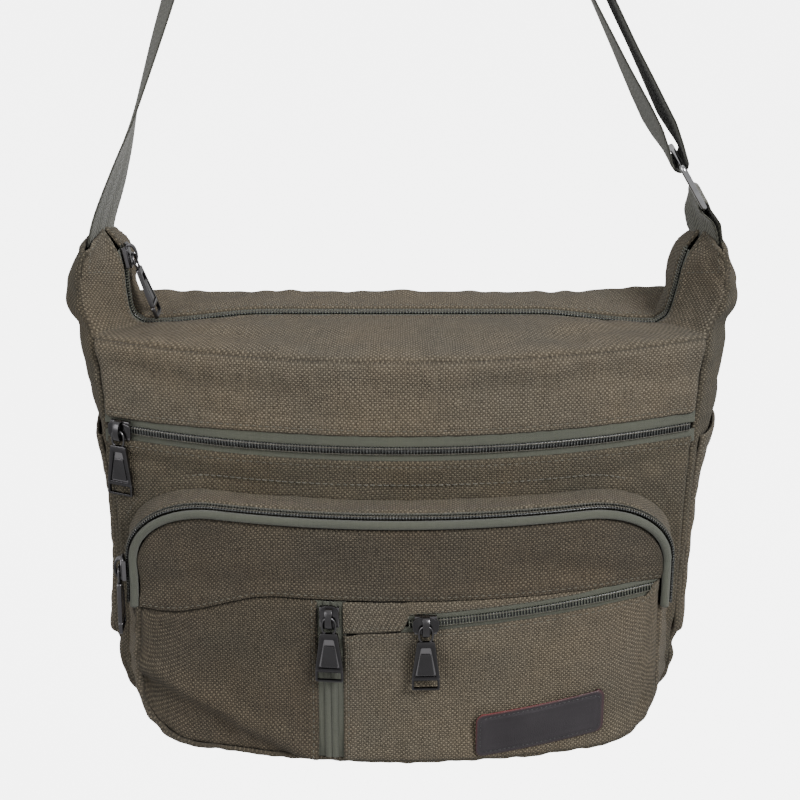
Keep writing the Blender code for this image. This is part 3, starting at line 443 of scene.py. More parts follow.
def make_leather():
    colour = (0.025, 0.0215, 0.0245)
    g = Graph("leather", colour, 0.45, specular_ior_level=0.35, coat_weight=0.04, coat_roughness=0.4)
    here = g.place()
    pores = g.cells(here, 1500.0)
    grain = g.noise(here, 420.0, 4.0, 0.6)
    stain = g.noise(here, 45.0, 3.0)
    body = g.ramp(stain, ((0.3, scaled(colour, 0.82)), (0.72, scaled(colour, 1.18))))
    # The red edge paint, where the attribute is high; on the patch its strength follows the light, which is
    # painted light.
    seam_shade_and_edge_paint = g.attribute("seam_shade_and_edge_paint", "Fac")
    g.colour(g.blend(seam_shade_and_edge_paint, body, (0.150, 0.016, 0.016)))
    g.rough(g.between(grain, 0.3, 0.7, 0.38, 0.56))
    height = g.math("ADD", g.math("MULTIPLY", pores, 0.7), g.math("MULTIPLY", grain, 0.8))
    g.normal(g.bump(height, 0.00018, 0.55))
    return g.material


def make_webbing():
    """A herringbone webbing; its coordinates run across and along the band in metres."""
    colour = (0.062, 0.062, 0.048)
    g = Graph("webbing", colour, 0.85, sheen_weight=0.2, sheen_roughness=0.5, specular_ior_level=0.3)
    threads = g.attribute("thread", "Vector")
    across, along, _ = g.split(threads)
    zig = g.math("PINGPONG", g.math("ADD", across, 0.040), 0.0064)
    slope = g.math("ADD", zig, along)
    rib = g.math("SINE", g.math("MULTIPLY", slope, 2 * math.pi / 0.0027))
    cord = g.math("SINE", g.math("MULTIPLY", across, 2 * math.pi / 0.0011))
    rib01 = g.between(rib, -1.0, 1.0)
    cord01 = g.between(cord, -1.0, 1.0)
    fibre = g.noise(g.stretch(threads, (1800.0, 700.0, 0)), 1.0, 2.0)
    height = g.math("ADD", g.math("MULTIPLY", rib01, 0.80), g.math("MULTIPLY", cord01, 0.20))
    fuzz = g.between(fibre, 0.3, 0.7, -0.05, 0.22)
    light = g.math("ADD", g.math("MULTIPLY", height, 0.75), fuzz, clamp=True)
    body = g.ramp(light, ((0.0, scaled(colour, 0.28)), (0.5, colour), (1.0, scaled(colour, 2.1))))
    rim = g.between(g.math("ABSOLUTE", across), 0.0166, 0.0186)
    body = g.blend(g.math("MULTIPLY", rim, 0.6), body, scaled(colour, 0.35))
    stain = g.noise(g.place(), 30.0, 3.0)
    tint = g.ramp(stain, ((0.3, (0.85, 0.86, 0.86)), (0.7, (1.05, 1.03, 0.98))))
    body = g.blend(1.0, body, tint, "MULTIPLY")
    g.colour(body)
    g.rough(g.between(fibre, 0.3, 0.7, 0.92, 0.74))
    g.normal(g.bump(height, 0.00035, 0.8))
    return g.material


thread = make_thread(
    "thread", (0.10, 0.098, 0.072), 0.7, (0.050, 0.046, 0.034), (0.115, 0.106, 0.080), specular_ior_level=0.3
)
dark_thread = make_thread(
    "thread_dark", (0.012, 0.012, 0.013), 0.6, (0.007, 0.007, 0.008), (0.022, 0.021, 0.022)
)
coil_black = make_coil("zip_coil", (0.040, 0.042, 0.039))
# A near-black finish for the strip under the zip teeth: painted shade between the teeth.
coil_gap_shade = make_coil("zip_gap_shade", (0.006, 0.006, 0.006))
coil_green = make_coil("zip_coil_green", (0.068, 0.074, 0.056))
gunmetal = make_metal("gunmetal", (0.022, 0.0212, 0.0225), 0.22, 0.34, 0.75, (0.30, 0.29, 0.30))
chrome = make_metal("chrome", (0.42, 0.42, 0.43), 0.06, 0.14, 0.1, (0.75, 0.75, 0.75))
leather = make_leather()
webbing = make_webbing()


# ---------------------------------------------------------------- the bag's surfaces
def front_profile(z):
    if z > 0.10:
        return -0.0745 + 0.0105 * ((z - 0.10) / 0.12) ** 2
    return -0.0745 + 0.0165 * max(0.0, 1 - z / 0.10) ** 4


def cylinder_y(centre, x):
    return centre + FRONT_RADIUS - math.sqrt(FRONT_RADIUS ** 2 - min(abs(x), 0.3) ** 2)


def cylinder_normal(x):
    return np.array((x / FRONT_RADIUS, -math.sqrt(1 - (x / FRONT_RADIUS) ** 2), 0))


def cylinder_normals(points):
    return np.array([cylinder_normal(x) for x in points[:, 0]])


def front_y(x, z):
    return cylinder_y(front_profile(z), x)


def front_at(x, z, out=0.0):
    return np.array((x, front_y(x, z) - out, z))


def back_y(x, z):
    if z > 0.10:
        return 0.044 - 0.005 * ((z - 0.10) / 0.12) ** 2
    return 0.044 - 0.012 * max(0.0, 1 - z / 0.10) ** 4


def plain_half(z):
    if z > 0.10:
        return 0.148 + 0.0085 * ((z - 0.10) / 0.1175) ** 2
    return 0.148 - 0.003 * (1 - max(z, 0.0) / 0.10)


def half_width(z):
    x = plain_half(z)
    if z < CORNER_RADIUS:
        x -= CORNER_RADIUS - math.sqrt(max(0.0, CORNER_RADIUS ** 2 - (CORNER_RADIUS - z) ** 2))
    return x


def back_half(z):
    return half_width(z) - 0.0095 * float(smooth(0.15, BODY_TOP, z))


WING_FRONT = (
    (0.1575, -0.0275, 0.2618), (0.1604, -0.0295, 0.2548), (0.1615, -0.0290, 0.2445),
    (0.1605, -0.0280, 0.2320), (0.1565, -0.0276, 0.2175),
)
WING_BACK = (
    (0.1508, 0.0225, 0.2592), (0.1458, 0.0295, 0.2535), (0.1426, 0.0325, 0.2435),
    (0.1430, 0.0350, 0.2320), (0.1470, 0.0391, 0.2175),
)
WING_V = 0.20
SIDE_V = 0.75


def splayed(p, side):
    """The right-hand wing leans outwards, pulled by the tab's ring."""
    if side > 0:
        p = p + np.array((0.0042 * float(smooth(BODY_TOP, 0.260, p[2])), 0, 0))
    return p


def edge(v, back):
    """The seam on the right-hand side, from the wing's top (v 0) to the end of the lower corner (v 1)."""
    if v < WING_V:
        return curve_through(WING_BACK if back else WING_FRONT, v / WING_V)
    y_at = back_y if back else front_y
    if v < SIDE_V:
        z = BODY_TOP + (CORNER_RADIUS - BODY_TOP) * (v - WING_V) / (SIDE_V - WING_V)
        x = back_half(z) if back else half_width(z)
        return np.array((x, y_at(x, z), z))
    turn = math.pi / 2 * min(1.0, (v - SIDE_V) / (1 - SIDE_V))
    z = CORNER_RADIUS * (1 - math.sin(turn))
    x = plain_half(z) - CORNER_RADIUS * (1 - math.cos(turn))
    return np.array((x, y_at(x, z), z))


# How far each side bulges, from the wing's top down to the end of the lower corner.
PINCHED_LEFT = (0.0030, 0.0165, 0.0165, 0.0065, 0.0025, 0.0040, 0.0065, 0.0060, 0.0)
PINCHED_RIGHT = (0.0030, 0.0160, 0.0205, 0.0135, 0.0085, 0.0055, 0.0045, 0.0040, 0.0)


def gusset(side, v, q):
    a = edge(v, False)
    b = edge(v, True)
    turn = math.pi / 2 * min(1.0, max(0.0, (v - SIDE_V) / (1 - SIDE_V)))
    out = np.array((math.cos(turn), 0, -math.sin(turn)))
    bulges = PINCHED_LEFT if side < 0 else PINCHED_RIGHT
    p = a + (b - a) * q + out * float(curve_through(bulges, v)) * 4 * q * (1 - q)
    p[2] += 0.0050 * 4 * q * (1 - q) * math.exp(-((v / 0.05) ** 2))
    return splayed(np.array((side * p[0], p[1], p[2])), side)


TOP_U = 0.74
ZIP_WING = ((0.1330, 0.2160), (0.1392, 0.2215), (0.1412, 0.2340), (0.1418, 0.2470), (0.1440, 0.2590))


def zip_line(u):
    """The main zip, from the left wing (u -1) along the top to the right wing (u 1)."""
    side = -1 if u < 0 else 1
    u = abs(u)
    if u < TOP_U:
        x = 0.1330 * u / TOP_U
        z = 0.2210 - 0.0050 * float(smooth(0.07, 0.128, x))
    else:
        x, z = curve_through(ZIP_WING, (u - TOP_U) / (1 - TOP_U))
    return splayed(np.array((side * x, 0.0, z)), side)


def top_edge(u, back):
    side = -1 if u < 0 else 1
    u = abs(u)
    if u < TOP_U:
        half = back_half(BODY_TOP) if back else half_width(BODY_TOP)
        x = half * u / TOP_U
        return np.array((side * x, (back_y if back else front_y)(x, BODY_TOP), BODY_TOP))
    p = edge(WING_V * (1 - (u - TOP_U) / (1 - TOP_U)), back)
    return splayed(np.array((side * p[0], p[1], p[2])), side)


WING_TIP = np.array((0.1525, 0.0, 0.2670))


def top_strip(back, u, q):
    """q runs from the zip's tape to the seam; the strips close over the zip's ends at the wings' tips."""
    away = 1 if back else -1
    side = -1 if u < 0 else 1
    a = zip_line(u) + np.array((0, away * 0.0052, 0))
    close = float(smooth(0.945, 1.0, abs(u)))
    tip = splayed(WING_TIP * np.array((side, 1, 1)), side)
    a = a + (tip + np.array((0, away * 0.0012, 0)) - a) * close
    b = top_edge(u, back)
    rise = float(smooth(TOP_U - 0.1, TOP_U + 0.1, abs(u)))
    out = np.array((-side * rise, 0, 1 - 0.8 * rise))
    return a + (b - a) * q + out * 0.0030 * 4 * q * (1 - q) * (1 - 0.5 * rise)


def cargo_seam(x):
    return 0.0870 + 0.0165 * float(smooth(-0.124, -0.060, x))


def small_zip_z(x):
    return 0.0918 + SMALL_ZIP_TILT * (x - 0.015)


def outline(half, low, high, r_low, r_high, upper, w):
    """A rounded rectangle in x and z: its upper or lower part, from the left side (w 0) to the right."""
    radius = r_high if upper else r_low
    wide = radius + CARGO_WIDE if upper else radius
    side = high - r_high - CARGO_SPLIT if upper else CARGO_SPLIT - low - r_low
    z_corner = high - r_high if upper else low + r_low
    up = 1 if upper else -1
    arc = (radius + wide) * math.pi / 4
    total = 2 * side + 2 * arc + 2 * (half - wide)
    d = w * total
    mirror = 1
    if d > total / 2:
        d = total - d
        mirror = -1
    if d < side:
        return -mirror * half, CARGO_SPLIT + up * d
    if d < side + arc:
        a = (d - side) / arc * math.pi / 2
        return mirror * (-half + wide * (1 - math.cos(a))), z_corner + up * radius * math.sin(a)
    return mirror * (-half + wide + (d - side - arc)), z_corner + up * radius


def cargo_edge(upper, w, half_more, high_more, low_more, centre):
    x, z = outline(
        CARGO_HALF + half_more, CARGO_Z[0] - low_more, CARGO_Z[1] + high_more,
        CARGO_R[0] + low_more, CARGO_R[1] + high_more, upper, w,
    )
    y = front_y(x, z) - 0.0011 if centre is None else cylinder_y(centre, x)
    return np.array((x, y, z))


def face_low(x):
    low, r_low = CARGO_Z[0], CARGO_R[0]
    inside = abs(x) - (CARGO_HALF - r_low)
    return low if inside < 0 else low + r_low - math.sqrt(max(0.0, r_low ** 2 - inside ** 2))


def face_high(x):
    high, r_high = CARGO_Z[1], CARGO_R[1]
    wide = r_high + CARGO_WIDE
    inside = max(0.0, abs(x) - (CARGO_HALF - wide)) / wide
    return high - r_high + r_high * math.sqrt(max(0.0, 1 - inside ** 2))


def face_at(x, z, out=0.0):
    return np.array((x, cylinder_y(CARGO_Y, x), z)) + cylinder_normal(x) * out


def face_piece(x0, x1, low, high):
    """Part of the cargo face between two vertical lines and two curves."""
    def surface(s, t):
        x = x0 + (x1 - x0) * s
        return face_at(x, low(x) * (1 - t) + high(x) * t)

    return surface


def small_at(s, lift):
    x = SMALL_ZIP_X[0] + s * (SMALL_ZIP_X[1] - SMALL_ZIP_X[0])
    return face_at(x, small_zip_z(x) + lift)


# ---------------------------------------------------------------- cloth
RIM = (0.0, 0.0004, 0.0009, 0.0015, 0.0023, 0.0033, 0.0045)


def spaced(length, step):
    """Positions from 0 to 1 along a length, closer together near both ends."""
    rim = [d for d in RIM if d < length * 0.4]
    last = rim[-1]
    count = max(2, int(round((length - 2 * last) / step)))
    middle = [last + (length - 2 * last) * k / count for k in range(1, count)]
    return np.array(rim + middle + [length - d for d in reversed(rim)]) / length


class Panel:
    """A fine grid of points over a surface, which is then shaped and made into cloth."""

    def __init__(self, surface, sign, step=0.0022, gap=0.0002, step_t=None):
        probe_s = np.array([surface(k / 24, 0.5) for k in range(25)])
        probe_t = np.array([surface(0.5, k / 12) for k in range(13)])
        length_s = lengths(probe_s)[-1]
        length_t = lengths(probe_t)[-1]
        s = spaced(length_s, step)
        t = spaced(length_t, step_t or step)
        s = s + (0.5 - s) * 2 * gap / length_s
        t = t + (0.5 - t) * 2 * gap / length_t
        self.points = np.array([[surface(i, j) for j in t] for i in s])
        self.measure(sign)

    def measure(self, sign):
        p = self.points
        self.normals = unit(grid_cross(p)) * sign
        along = np.linalg.norm(np.diff(p, axis=0), axis=2)
        up = np.linalg.norm(np.diff(p, axis=1), axis=2)
        self.s0 = np.concatenate([np.zeros((1, p.shape[1])), np.cumsum(along, 0)])
        self.t0 = np.concatenate([np.zeros((p.shape[0], 1)), np.cumsum(up, 1)], 1)
        self.s1 = self.s0[-1:] - self.s0
        self.t1 = self.t0[:, -1:] - self.t0
        middle = p.shape[0] // 2
        self.a = self.s0 - self.s0[middle:middle + 1]
        self.b = self.t0 - self.t0[:, :1]
        self.height = np.zeros(p.shape[:2])
        self.seam_shade_and_edge_paint = np.zeros(p.shape[:2])

    def far(self, which):
        """Each point's distance from the edge s0, s1, t0 or t1."""
        return getattr(self, which)

    def seam(self, which, depth=0.0016, puff=0.0010, seed=1, pucker=0.00045):
        """A turned seam: the cloth rolls down into it, stands up beside it and puckers a little."""
        d = self.far(which)
        run = self.a if which[0] == "t" else self.b
        self.height -= depth * np.exp(-((d / 0.0013) ** 1.5))
        self.height += puff * (d / 0.0042) * np.exp(1 - d / 0.0042)
        waves = ripple(run, d * 0.25, 0.011, seed, 9)
        self.height += pucker * waves * (d / 0.007) * np.exp(1 - d / 0.007)
        # Painted shade: the cloth is drawn darker in the seam's groove.
        self.seam_shade_and_edge_paint = np.maximum(self.seam_shade_and_edge_paint, 0.85 * np.exp(-((d / 0.0010) ** 2)))
        return self

    def hem(self, which, raise_by=0.0007, wide=0.0060, drop=0.0012, seed=1):
        """A folded edge beside a zip, held by topstitching: doubled cloth with a rounded fold."""
        d = self.far(which)
        run = self.a if which[0] == "t" else self.b
        self.height += raise_by * (1 - smooth(wide - 0.0012, wide + 0.0018, d))
        self.height -= drop * np.exp(-((d / 0.0007) ** 1.6))
        self.height += 0.00022 * ripple(run, d, 0.010, seed, 9) * np.exp(-d / 0.010)
        # Painted shade: the cloth is drawn darker along the fold's edge.
        self.seam_shade_and_edge_paint = np.maximum(self.seam_shade_and_edge_paint, 0.35 * np.exp(-((d / 0.0006) ** 2)))
        return self

    def dip(self, d, depth=0.00035, wide=0.0007):
        """The groove that a line of stitches pulls into the cloth, at zero distance d."""
        self.height -= depth * np.exp(-((d / wide) ** 2))
        # Painted shade: the cloth is drawn darker in the stitches' groove.
        self.seam_shade_and_edge_paint = np.maximum(self.seam_shade_and_edge_paint, 0.30 * np.exp(-((d / (wide * 0.8)) ** 2)))
        return self

    def soften(self, size, amount, seed, clear=0.020, edges=("s0", "s1", "t0", "t1")):
        """Slow undulations that fade out towards the named edges."""
        mask = 1.0
        for which in edges:
            mask = mask * smooth(0, clear, self.far(which))
        self.height += amount * ripple(self.a, self.b, size, seed) * mask
        return self

    def crease(self, start, end, depth, wide, axes=(0, 2), ridge=0.6):
        """A fold along a line between two points, given in the bag's frame."""
        p = self.points[..., list(axes)]
        a = np.array(start, float)
        b = np.array(end, float)
        ab = b - a
        along = np.clip(((p - a) @ ab) / (ab @ ab), -0.3, 1.3)
        near = a + along[..., None] * ab
        side = ((p - a) @ np.array((-ab[1], ab[0]))) / np.linalg.norm(ab)
        fade = smooth(-0.28, 0.15, along) * (1 - smooth(0.80, 1.28, along))
        d = np.linalg.norm(p - near, axis=-1)
        self.height -= depth * fade * np.exp(-((d / wide) ** 2))
        self.height += depth * ridge * fade * np.exp(-(((side - 1.7 * wide) / (wide * 1.2)) ** 2))
        return self

    def settle(self):
        """Moves the points by the heights drawn so far and measures the panel's normals again."""
        self.points = self.points + self.normals * self.height[..., None]
        fresh = unit(grid_cross(self.points))
        turned = np.sign((fresh * self.normals).sum(-1, keepdims=True).mean())
        self.normals = fresh * turned
        self.height[:] = 0
        return self

    def cloth(self, name, look, nodes, thick=CLOTH, body="bag", slot="canvas", quarter=False):
        outer = self.points
        inner = outer - self.normals * thick
        ns, nt = outer.shape[:2]
        verts = np.concatenate([outer.reshape(-1, 3), inner.reshape(-1, 3)])
        index = np.arange(ns * nt).reshape(ns, nt)
        a = index[:-1, :-1].ravel()
        b = index[:-1, 1:].ravel()
        c = index[1:, 1:].ravel()
        d = index[1:, :-1].ravel()
        off = ns * nt
        outward = (grid_cross(outer) * self.normals).sum(-1).mean() > 0
        quads = np.stack([a, d, c, b] if outward else [a, b, c, d], 1)
        back = np.stack([a, b, c, d] if outward else [a, d, c, b], 1) + off
        rim = np.concatenate([index[:, 0], index[-1, 1:], index[-2::-1, -1], index[0, -2:0:-1]])
        rim_next = np.roll(rim, -1)
        sides = [rim, rim + off, rim_next + off, rim_next]
        if not outward:
            sides = [rim, rim_next, rim_next + off, rim + off]
        faces = np.concatenate([quads, back, np.stack(sides, 1)]).tolist()
        lay = np.stack([self.b, self.a] if quarter else [self.a, self.b], -1).reshape(-1, 2)
        seam_shade_and_edge_paint = self.seam_shade_and_edge_paint.ravel()
        return put(
            name, verts, faces, look, body,
            thread=np.concatenate([lay, lay]), shade=np.concatenate([seam_shade_and_edge_paint, seam_shade_and_edge_paint]), nodes=nodes,
        )

    def line(self, which, distance, start=0.0, end=1.0):
        """Points and normals along the panel at a distance from one edge."""
        d = self.far(which)
        points = self.points
        normals = self.normals
        if which[0] == "s":
            d = d.T
            points = points.transpose(1, 0, 2)
            normals = normals.transpose(1, 0, 2)
        rows = []
        for i in range(len(d)):
            order = np.argsort(d[i], kind="stable")
            if d[i].max() <= distance:
                continue
            rows.append(
                [np.interp(distance, d[i][order], points[i][order, k]) for k in range(3)]
                + [np.interp(distance, d[i][order], normals[i][order, k]) for k in range(3)]
            )
        rows = np.array(rows)
        n = len(rows)
        rows = rows[int(start * n):max(2, int(math.ceil(end * n)))]
        return rows[:, :3], unit(rows[:, 3:])

    def path(self, marks, count=60):
        """Points and normals along a chain of (s, t) marks, as shares of the panel's grid."""
        marks = np.array(marks, float)
        t = np.linspace(0, len(marks) - 1, count)
        s_at = np.interp(t, range(len(marks)), marks[:, 0]) * (self.points.shape[0] - 1)
        t_at = np.interp(t, range(len(marks)), marks[:, 1]) * (self.points.shape[1] - 1)
        i = np.clip(s_at.astype(int), 0, self.points.shape[0] - 2)
        j = np.clip(t_at.astype(int), 0, self.points.shape[1] - 2)
        f = (s_at - i)[:, None]
        g = (t_at - j)[:, None]
        found = []
        for grid in (self.points, self.normals):
            low = grid[i, j] * (1 - f) + grid[i + 1, j] * f
            high = grid[i, j + 1] * (1 - f) + grid[i + 1, j + 1] * f
            found.append(low * (1 - g) + high * g)
        return found[0], unit(found[1])


def tube(verts, faces, path, radii, sides=6, closed=False, normals=None):
    """Adds a round bar along a path to lists of vertices and faces."""
    path = np.asarray(path, float)
    count = len(path)
    radii = np.broadcast_to(radii, count)
    if closed:
        ahead = np.roll(path, -1, 0) - np.roll(path, 1, 0)
    else:
        ahead = np.gradient(path, axis=0)
    ahead = unit(ahead)
    if normals is None:
        normals = np.tile((0.0, 0.0, 1.0), (count, 1))
        flat = np.abs(ahead[:, 2]) > 0.9
        normals[flat] = (1.0, 0.0, 0.0)
        if flat.any() and not flat.all():
            normals[:] = (0.13, 0.99, 0.05)
    side = unit(np.cross(ahead, normals))
    up = np.cross(side, ahead)
    base = len(verts)
    for k in range(count):
        for m in range(sides):
            angle = 2 * math.pi * m / sides
            verts.append(path[k] + radii[k] * (side[k] * math.cos(angle) + up[k] * math.sin(angle)))
    faces += skin(count, sides, closed, base)
    if not closed:
        faces.append(tuple(base + m for m in reversed(range(sides))))
        faces.append(tuple(base + (count - 1) * sides + m for m in range(sides)))


class Stitching:
    """Rows of separate stitches, gathered into one piece for each part of the bag."""

    def __init__(self, seed):
        self.verts = []
        self.faces = []
        self.random = np.random.default_rng(seed)

    def row(self, line, pitch=0.0034, part=0.68, radius=0.00030, sink=0.00012):
        points, normals = line
        run = lengths(points)
        count = max(1, int(run[-1] / pitch))
        pitch = run[-1] / count
        for k in range(count):
            start = (k + (1 - part) / 2 + self.random.uniform(-0.03, 0.03)) * pitch
            at = np.linspace(start, start + part * pitch, 5)
            p = sampled(at, run, points)
            n = unit(sampled(at, run, normals))
            lift = np.array((-1.3, 0.25, 0.55, 0.25, -1.3)) * radius - sink
            radii = radius * np.array((0.75, 1, 1.05, 1, 0.75))
            tube(self.verts, self.faces, p + n * lift[:, None], radii, 5, normals=n)
        return self

    def make(self, name, look=thread, body="bag", slot="canvas"):
        return put(name, self.verts, self.faces, look, body)


def cargo_distance(x, z):
    """Distance outside the rounded outline of the cargo face (negative inside)."""
    radius = np.where(z > CARGO_SPLIT, CARGO_R[1], CARGO_R[0])
    middle = (CARGO_Z[0] + CARGO_Z[1]) / 2
    half = (CARGO_Z[1] - CARGO_Z[0]) / 2
    dx = np.abs(x) - CARGO_HALF + radius
    dz = np.abs(z - middle) - half + radius
    outside = np.hypot(np.maximum(dx, 0), np.maximum(dz, 0))
    return outside + np.minimum(np.maximum(dx, dz), 0) - radius


# ---------------------------------------------------------------- body panels
front_stitches = Stitching(3)
FLANGE = 0.0108        # the cargo band's row of stitches, outside the cargo face's outline


def front_lower(s, t):
    z = t * (UPPER_TAPE[0] + 0.0026)
    x = (2 * s - 1) * half_width(z)
    return (x, front_y(x, z), z)


def front_upper(s, t):
    """Its hem drops nearer the zip's teeth at the left end."""
    low = UPPER_TAPE[1] - 0.0024 - 0.0020 * (1 - float(smooth(0.02, 0.30, s)))
    z = low + t * (BODY_TOP - low)
    x = (2 * s - 1) * half_width(z)
    return (x, front_y(x, z), z)


panel = Panel(front_lower, 1, 0.0022)
panel.seam("s0", seed=11).seam("s1", seed=12).seam("t0", seed=13).hem("t1", seed=14)
panel.dip(panel.t1 - FRONT_STITCH)
panel.dip(cargo_distance(panel.points[..., 0], panel.points[..., 2]) - FLANGE, 0.0005, 0.0008)
panel.soften(0.060, 0.0012, 15, clear=0.022)
panel.crease((-0.150, 0.1585), (-0.080, 0.1530), 0.0009, 0.004)
panel.crease((0.150, 0.1600), (0.105, 0.1520), 0.0009, 0.004)
panel.crease((0.148, 0.060), (0.140, 0.030), 0.0020, 0.006)
panel.settle().cloth("front_lower_cloth", shaded_canvas, ["front_lower_panel"])
front_stitches.row(panel.line("t1", FRONT_STITCH))
flange = []
for w in np.linspace(0.0, 1.0, 240):
    p = cargo_edge(True, float(w), FLANGE, FLANGE, 0, None)
    flange.append((p[0], front_y(p[0], p[2]) - 0.0002, p[2]))
flange = np.array(flange)
front_stitches.row((flange, cylinder_normals(flange)))

panel = Panel(front_upper, 1, 0.0020)
panel.seam("s0", seed=21).seam("s1", seed=22)
panel.seam("t1", seed=23, puff=0.0013, pucker=0.0007).hem("t0", seed=24)
panel.dip(panel.t0 - FRONT_STITCH)
panel.soften(0.045, 0.0010, 25, clear=0.012)
panel.crease((-0.152, 0.2030), (-0.060, 0.2000), 0.0013, 0.0055)
panel.crease((0.020, 0.2020), (0.100, 0.2045), 0.0008, 0.005)
panel.crease((0.152, 0.1980), (0.110, 0.2030), 0.0011, 0.005)
panel.settle().cloth("front_upper_cloth", canvas, ["front_upper_panel"])
front_stitches.row(panel.line("t0", FRONT_STITCH))
front_stitches.make("front_stitches")


def back_sheet(low, high):
    def surface(s, t):
        z = low + t * (high - low)
        x = (2 * s - 1) * back_half(z)
        return (x, back_y(x, z), z)

    return surface


back_stitches = Stitching(5)
panel = Panel(back_sheet(BACK_ZIP_Z + 0.0070, BODY_TOP), -1, 0.0026)
panel.seam("s0", seed=31).seam("s1", seed=32).seam("t1", seed=33).hem("t0", seed=34)
panel.dip(panel.t0 - BACK_STITCH)
panel.soften(0.055, 0.0014, 35, clear=0.015)
panel.crease((-0.120, 0.196), (0.030, 0.190), 0.0012, 0.007)
panel.settle().cloth("back_upper_cloth", canvas, ["back_upper_panel"])
back_stitches.row(panel.line("t0", BACK_STITCH))
panel = Panel(back_sheet(0.0, BACK_ZIP_Z - 0.0070), -1, 0.0026)
panel.seam("s0", seed=41).seam("s1", seed=42).seam("t0", seed=43).hem("t1", seed=44)
panel.dip(panel.t1 - BACK_STITCH)
panel.soften(0.075, 0.0022, 45, clear=0.03)
panel.crease((-0.110, 0.118), (0.060, 0.108), 0.0012, 0.009)
panel.crease((0.130, 0.052), (0.060, 0.026), 0.0016, 0.008)
panel.settle().cloth("back_lower_cloth", canvas, ["back_lower_panel"])
back_stitches.row(panel.line("t1", BACK_STITCH))
back_stitches.make("back_stitches")

for side, word in ((-1, "left"), (1, "right")):
    rows = Stitching(7 + side)
    panel = Panel(lambda s, t: gusset(side, s, t), side, 0.0024)
    panel.seam("t0", seed=51 + side, pucker=0.0007).seam("t1", seed=53 + side).hem("s0", seed=55, wide=0.0050)
    panel.dip(panel.s0 - 0.0025)
    panel.soften(0.050, 0.0017, 57 + side, clear=0.016)
    panel.crease((-0.024, 0.222), (0.016, 0.212), 0.0022, 0.006, axes=(1, 2))
    panel.crease((0.030, 0.196), (-0.012, 0.186), 0.0016, 0.007, axes=(1, 2))
    panel.crease((-0.050, 0.050), (0.010, 0.036), 0.0018, 0.007, axes=(1, 2))
    panel.settle().cloth(f"gusset_{word}_cloth", shaded_canvas, [f"gusset_{word}"])
    rows.row(panel.line("s0", 0.0025, 0.06, 0.94))

    def side_pocket(s, t):
        v = 0.36 + 0.36 * s
        q = 0.05 + 0.90 * t
        step = 1e-4
        dv = gusset(side, v + step, q) - gusset(side, v - step, q)
        dq = gusset(side, v, q + step) - gusset(side, v, q - step)
        normal = unit(np.cross(dv, dq))
        if normal[0] * side < 0:
            normal = -normal
        return gusset(side, v, q) + normal * (0.0022 + 0.0007 * float(smooth(0.35, 0.0, s)))

    panel = Panel(side_pocket, side, 0.0024)
    panel.seam("t0", seed=61 + side).seam("t1", seed=63 + side).seam("s1", seed=65)
    panel.hem("s0", seed=66, wide=0.0100)
    panel.dip(panel.s0 - 0.0090)
    panel.soften(0.045, 0.0010, 67 + side, clear=0.014)
    panel.settle().cloth(f"side_pocket_{word}_cloth", canvas, [f"side_pocket_{word}"], thick=0.0014)
    rows.row(panel.line("s0", 0.0090, 0.05, 0.95))
    rows.make(f"gusset_{word}_stitches")


def base_sheet(s, t):
    half = half_width(0.0)
    x = (2 * s - 1) * (half - 0.0002)
    a = front_y(x, 0.0)
    b = back_y(x, 0.0)
    return (x, a + (b - a) * t, 0.0)


panel = Panel(base_sheet, -1, 0.0030)
panel.seam("s0", puff=0, seed=71).seam("s1", puff=0, seed=72)
panel.seam("t0", puff=0.0003, seed=73).seam("t1", puff=0.0003, seed=74)
panel.settle().cloth("bottom_cloth", shaded_canvas, ["bottom_panel"])

top_stitches = Stitching(9)
for back, word, sign in ((False, "front", -1), (True, "back", 1)):
    panel = Panel(lambda s, t: top_strip(back, 2 * s - 1, t), sign, 0.0022, step_t=0.0018)
    panel.hem("t0", seed=81 + sign, wide=0.0050).seam("t1", seed=83 + sign, puff=0.0010, pucker=0.0005)
    panel.dip(panel.t0 - TOP_STITCH)
    panel.soften(0.040, 0.0011, 85 + sign, clear=0.012)
    if back:
        panel.crease((-0.10, 0.030), (0.02, 0.018), 0.0010, 0.005, axes=(0, 1))
    else:
        panel.crease((-0.125, -0.022), (-0.07, -0.040), 0.0014, 0.006, axes=(0, 1))
        panel.crease((0.060, -0.045), (0.125, -0.020), 0.0012, 0.006, axes=(0, 1))
    panel.settle()
    panel.a = np.broadcast_to(panel.a.mean(1, keepdims=True), panel.a.shape)   # straight threads on the wings
    panel.cloth(f"top_strip_{word}_cloth", canvas, [f"top_strip_{word}"])
    top_stitches.row(panel.line("t0", TOP_STITCH))
    for tip in (0, 1):
        low, high = (0.012, 0.060) if tip == 0 else (0.988, 0.940)
        top_stitches.row(panel.path(((low, 0.22), (low, 0.80))))
        top_stitches.row(panel.path(((low, 0.80), (high, 0.80), (high, 0.22)), 90))
top_stitches.make("top_stitches")

# ---------------------------------------------------------------- the cargo pocket
cargo_stitches = Stitching(15)


def cargo_band(s, t):
    foot = cargo_edge(True, s, 0.0080 - 0.0015 * t, 0.0038 + 0.0022 * t, 0, None)
    return foot * (1 - t) + cargo_edge(True, s, 0.0052, 0.0049, 0, -0.0920) * t


def cargo_lower(s, t):
    foot = cargo_edge(False, s, 0.0080, 0, 0.0065, None)
    return foot * (1 - t) + cargo_edge(False, s, 0.0003, 0, 0.0003, CARGO_Y) * t


panel = Panel(cargo_band, -1, 0.0020, step_t=0.0014)
panel.seam("t0", seed=91, depth=0.0008, puff=0.0006).hem("t1", seed=92, wide=0.0045, raise_by=0.0004)
panel.soften(0.035, 0.0006, 93, clear=0.006, edges=("t0", "t1"))
panel.settle().cloth("cargo_band_cloth", canvas, ["cargo_band_upper"], thick=POCKET_CLOTH)

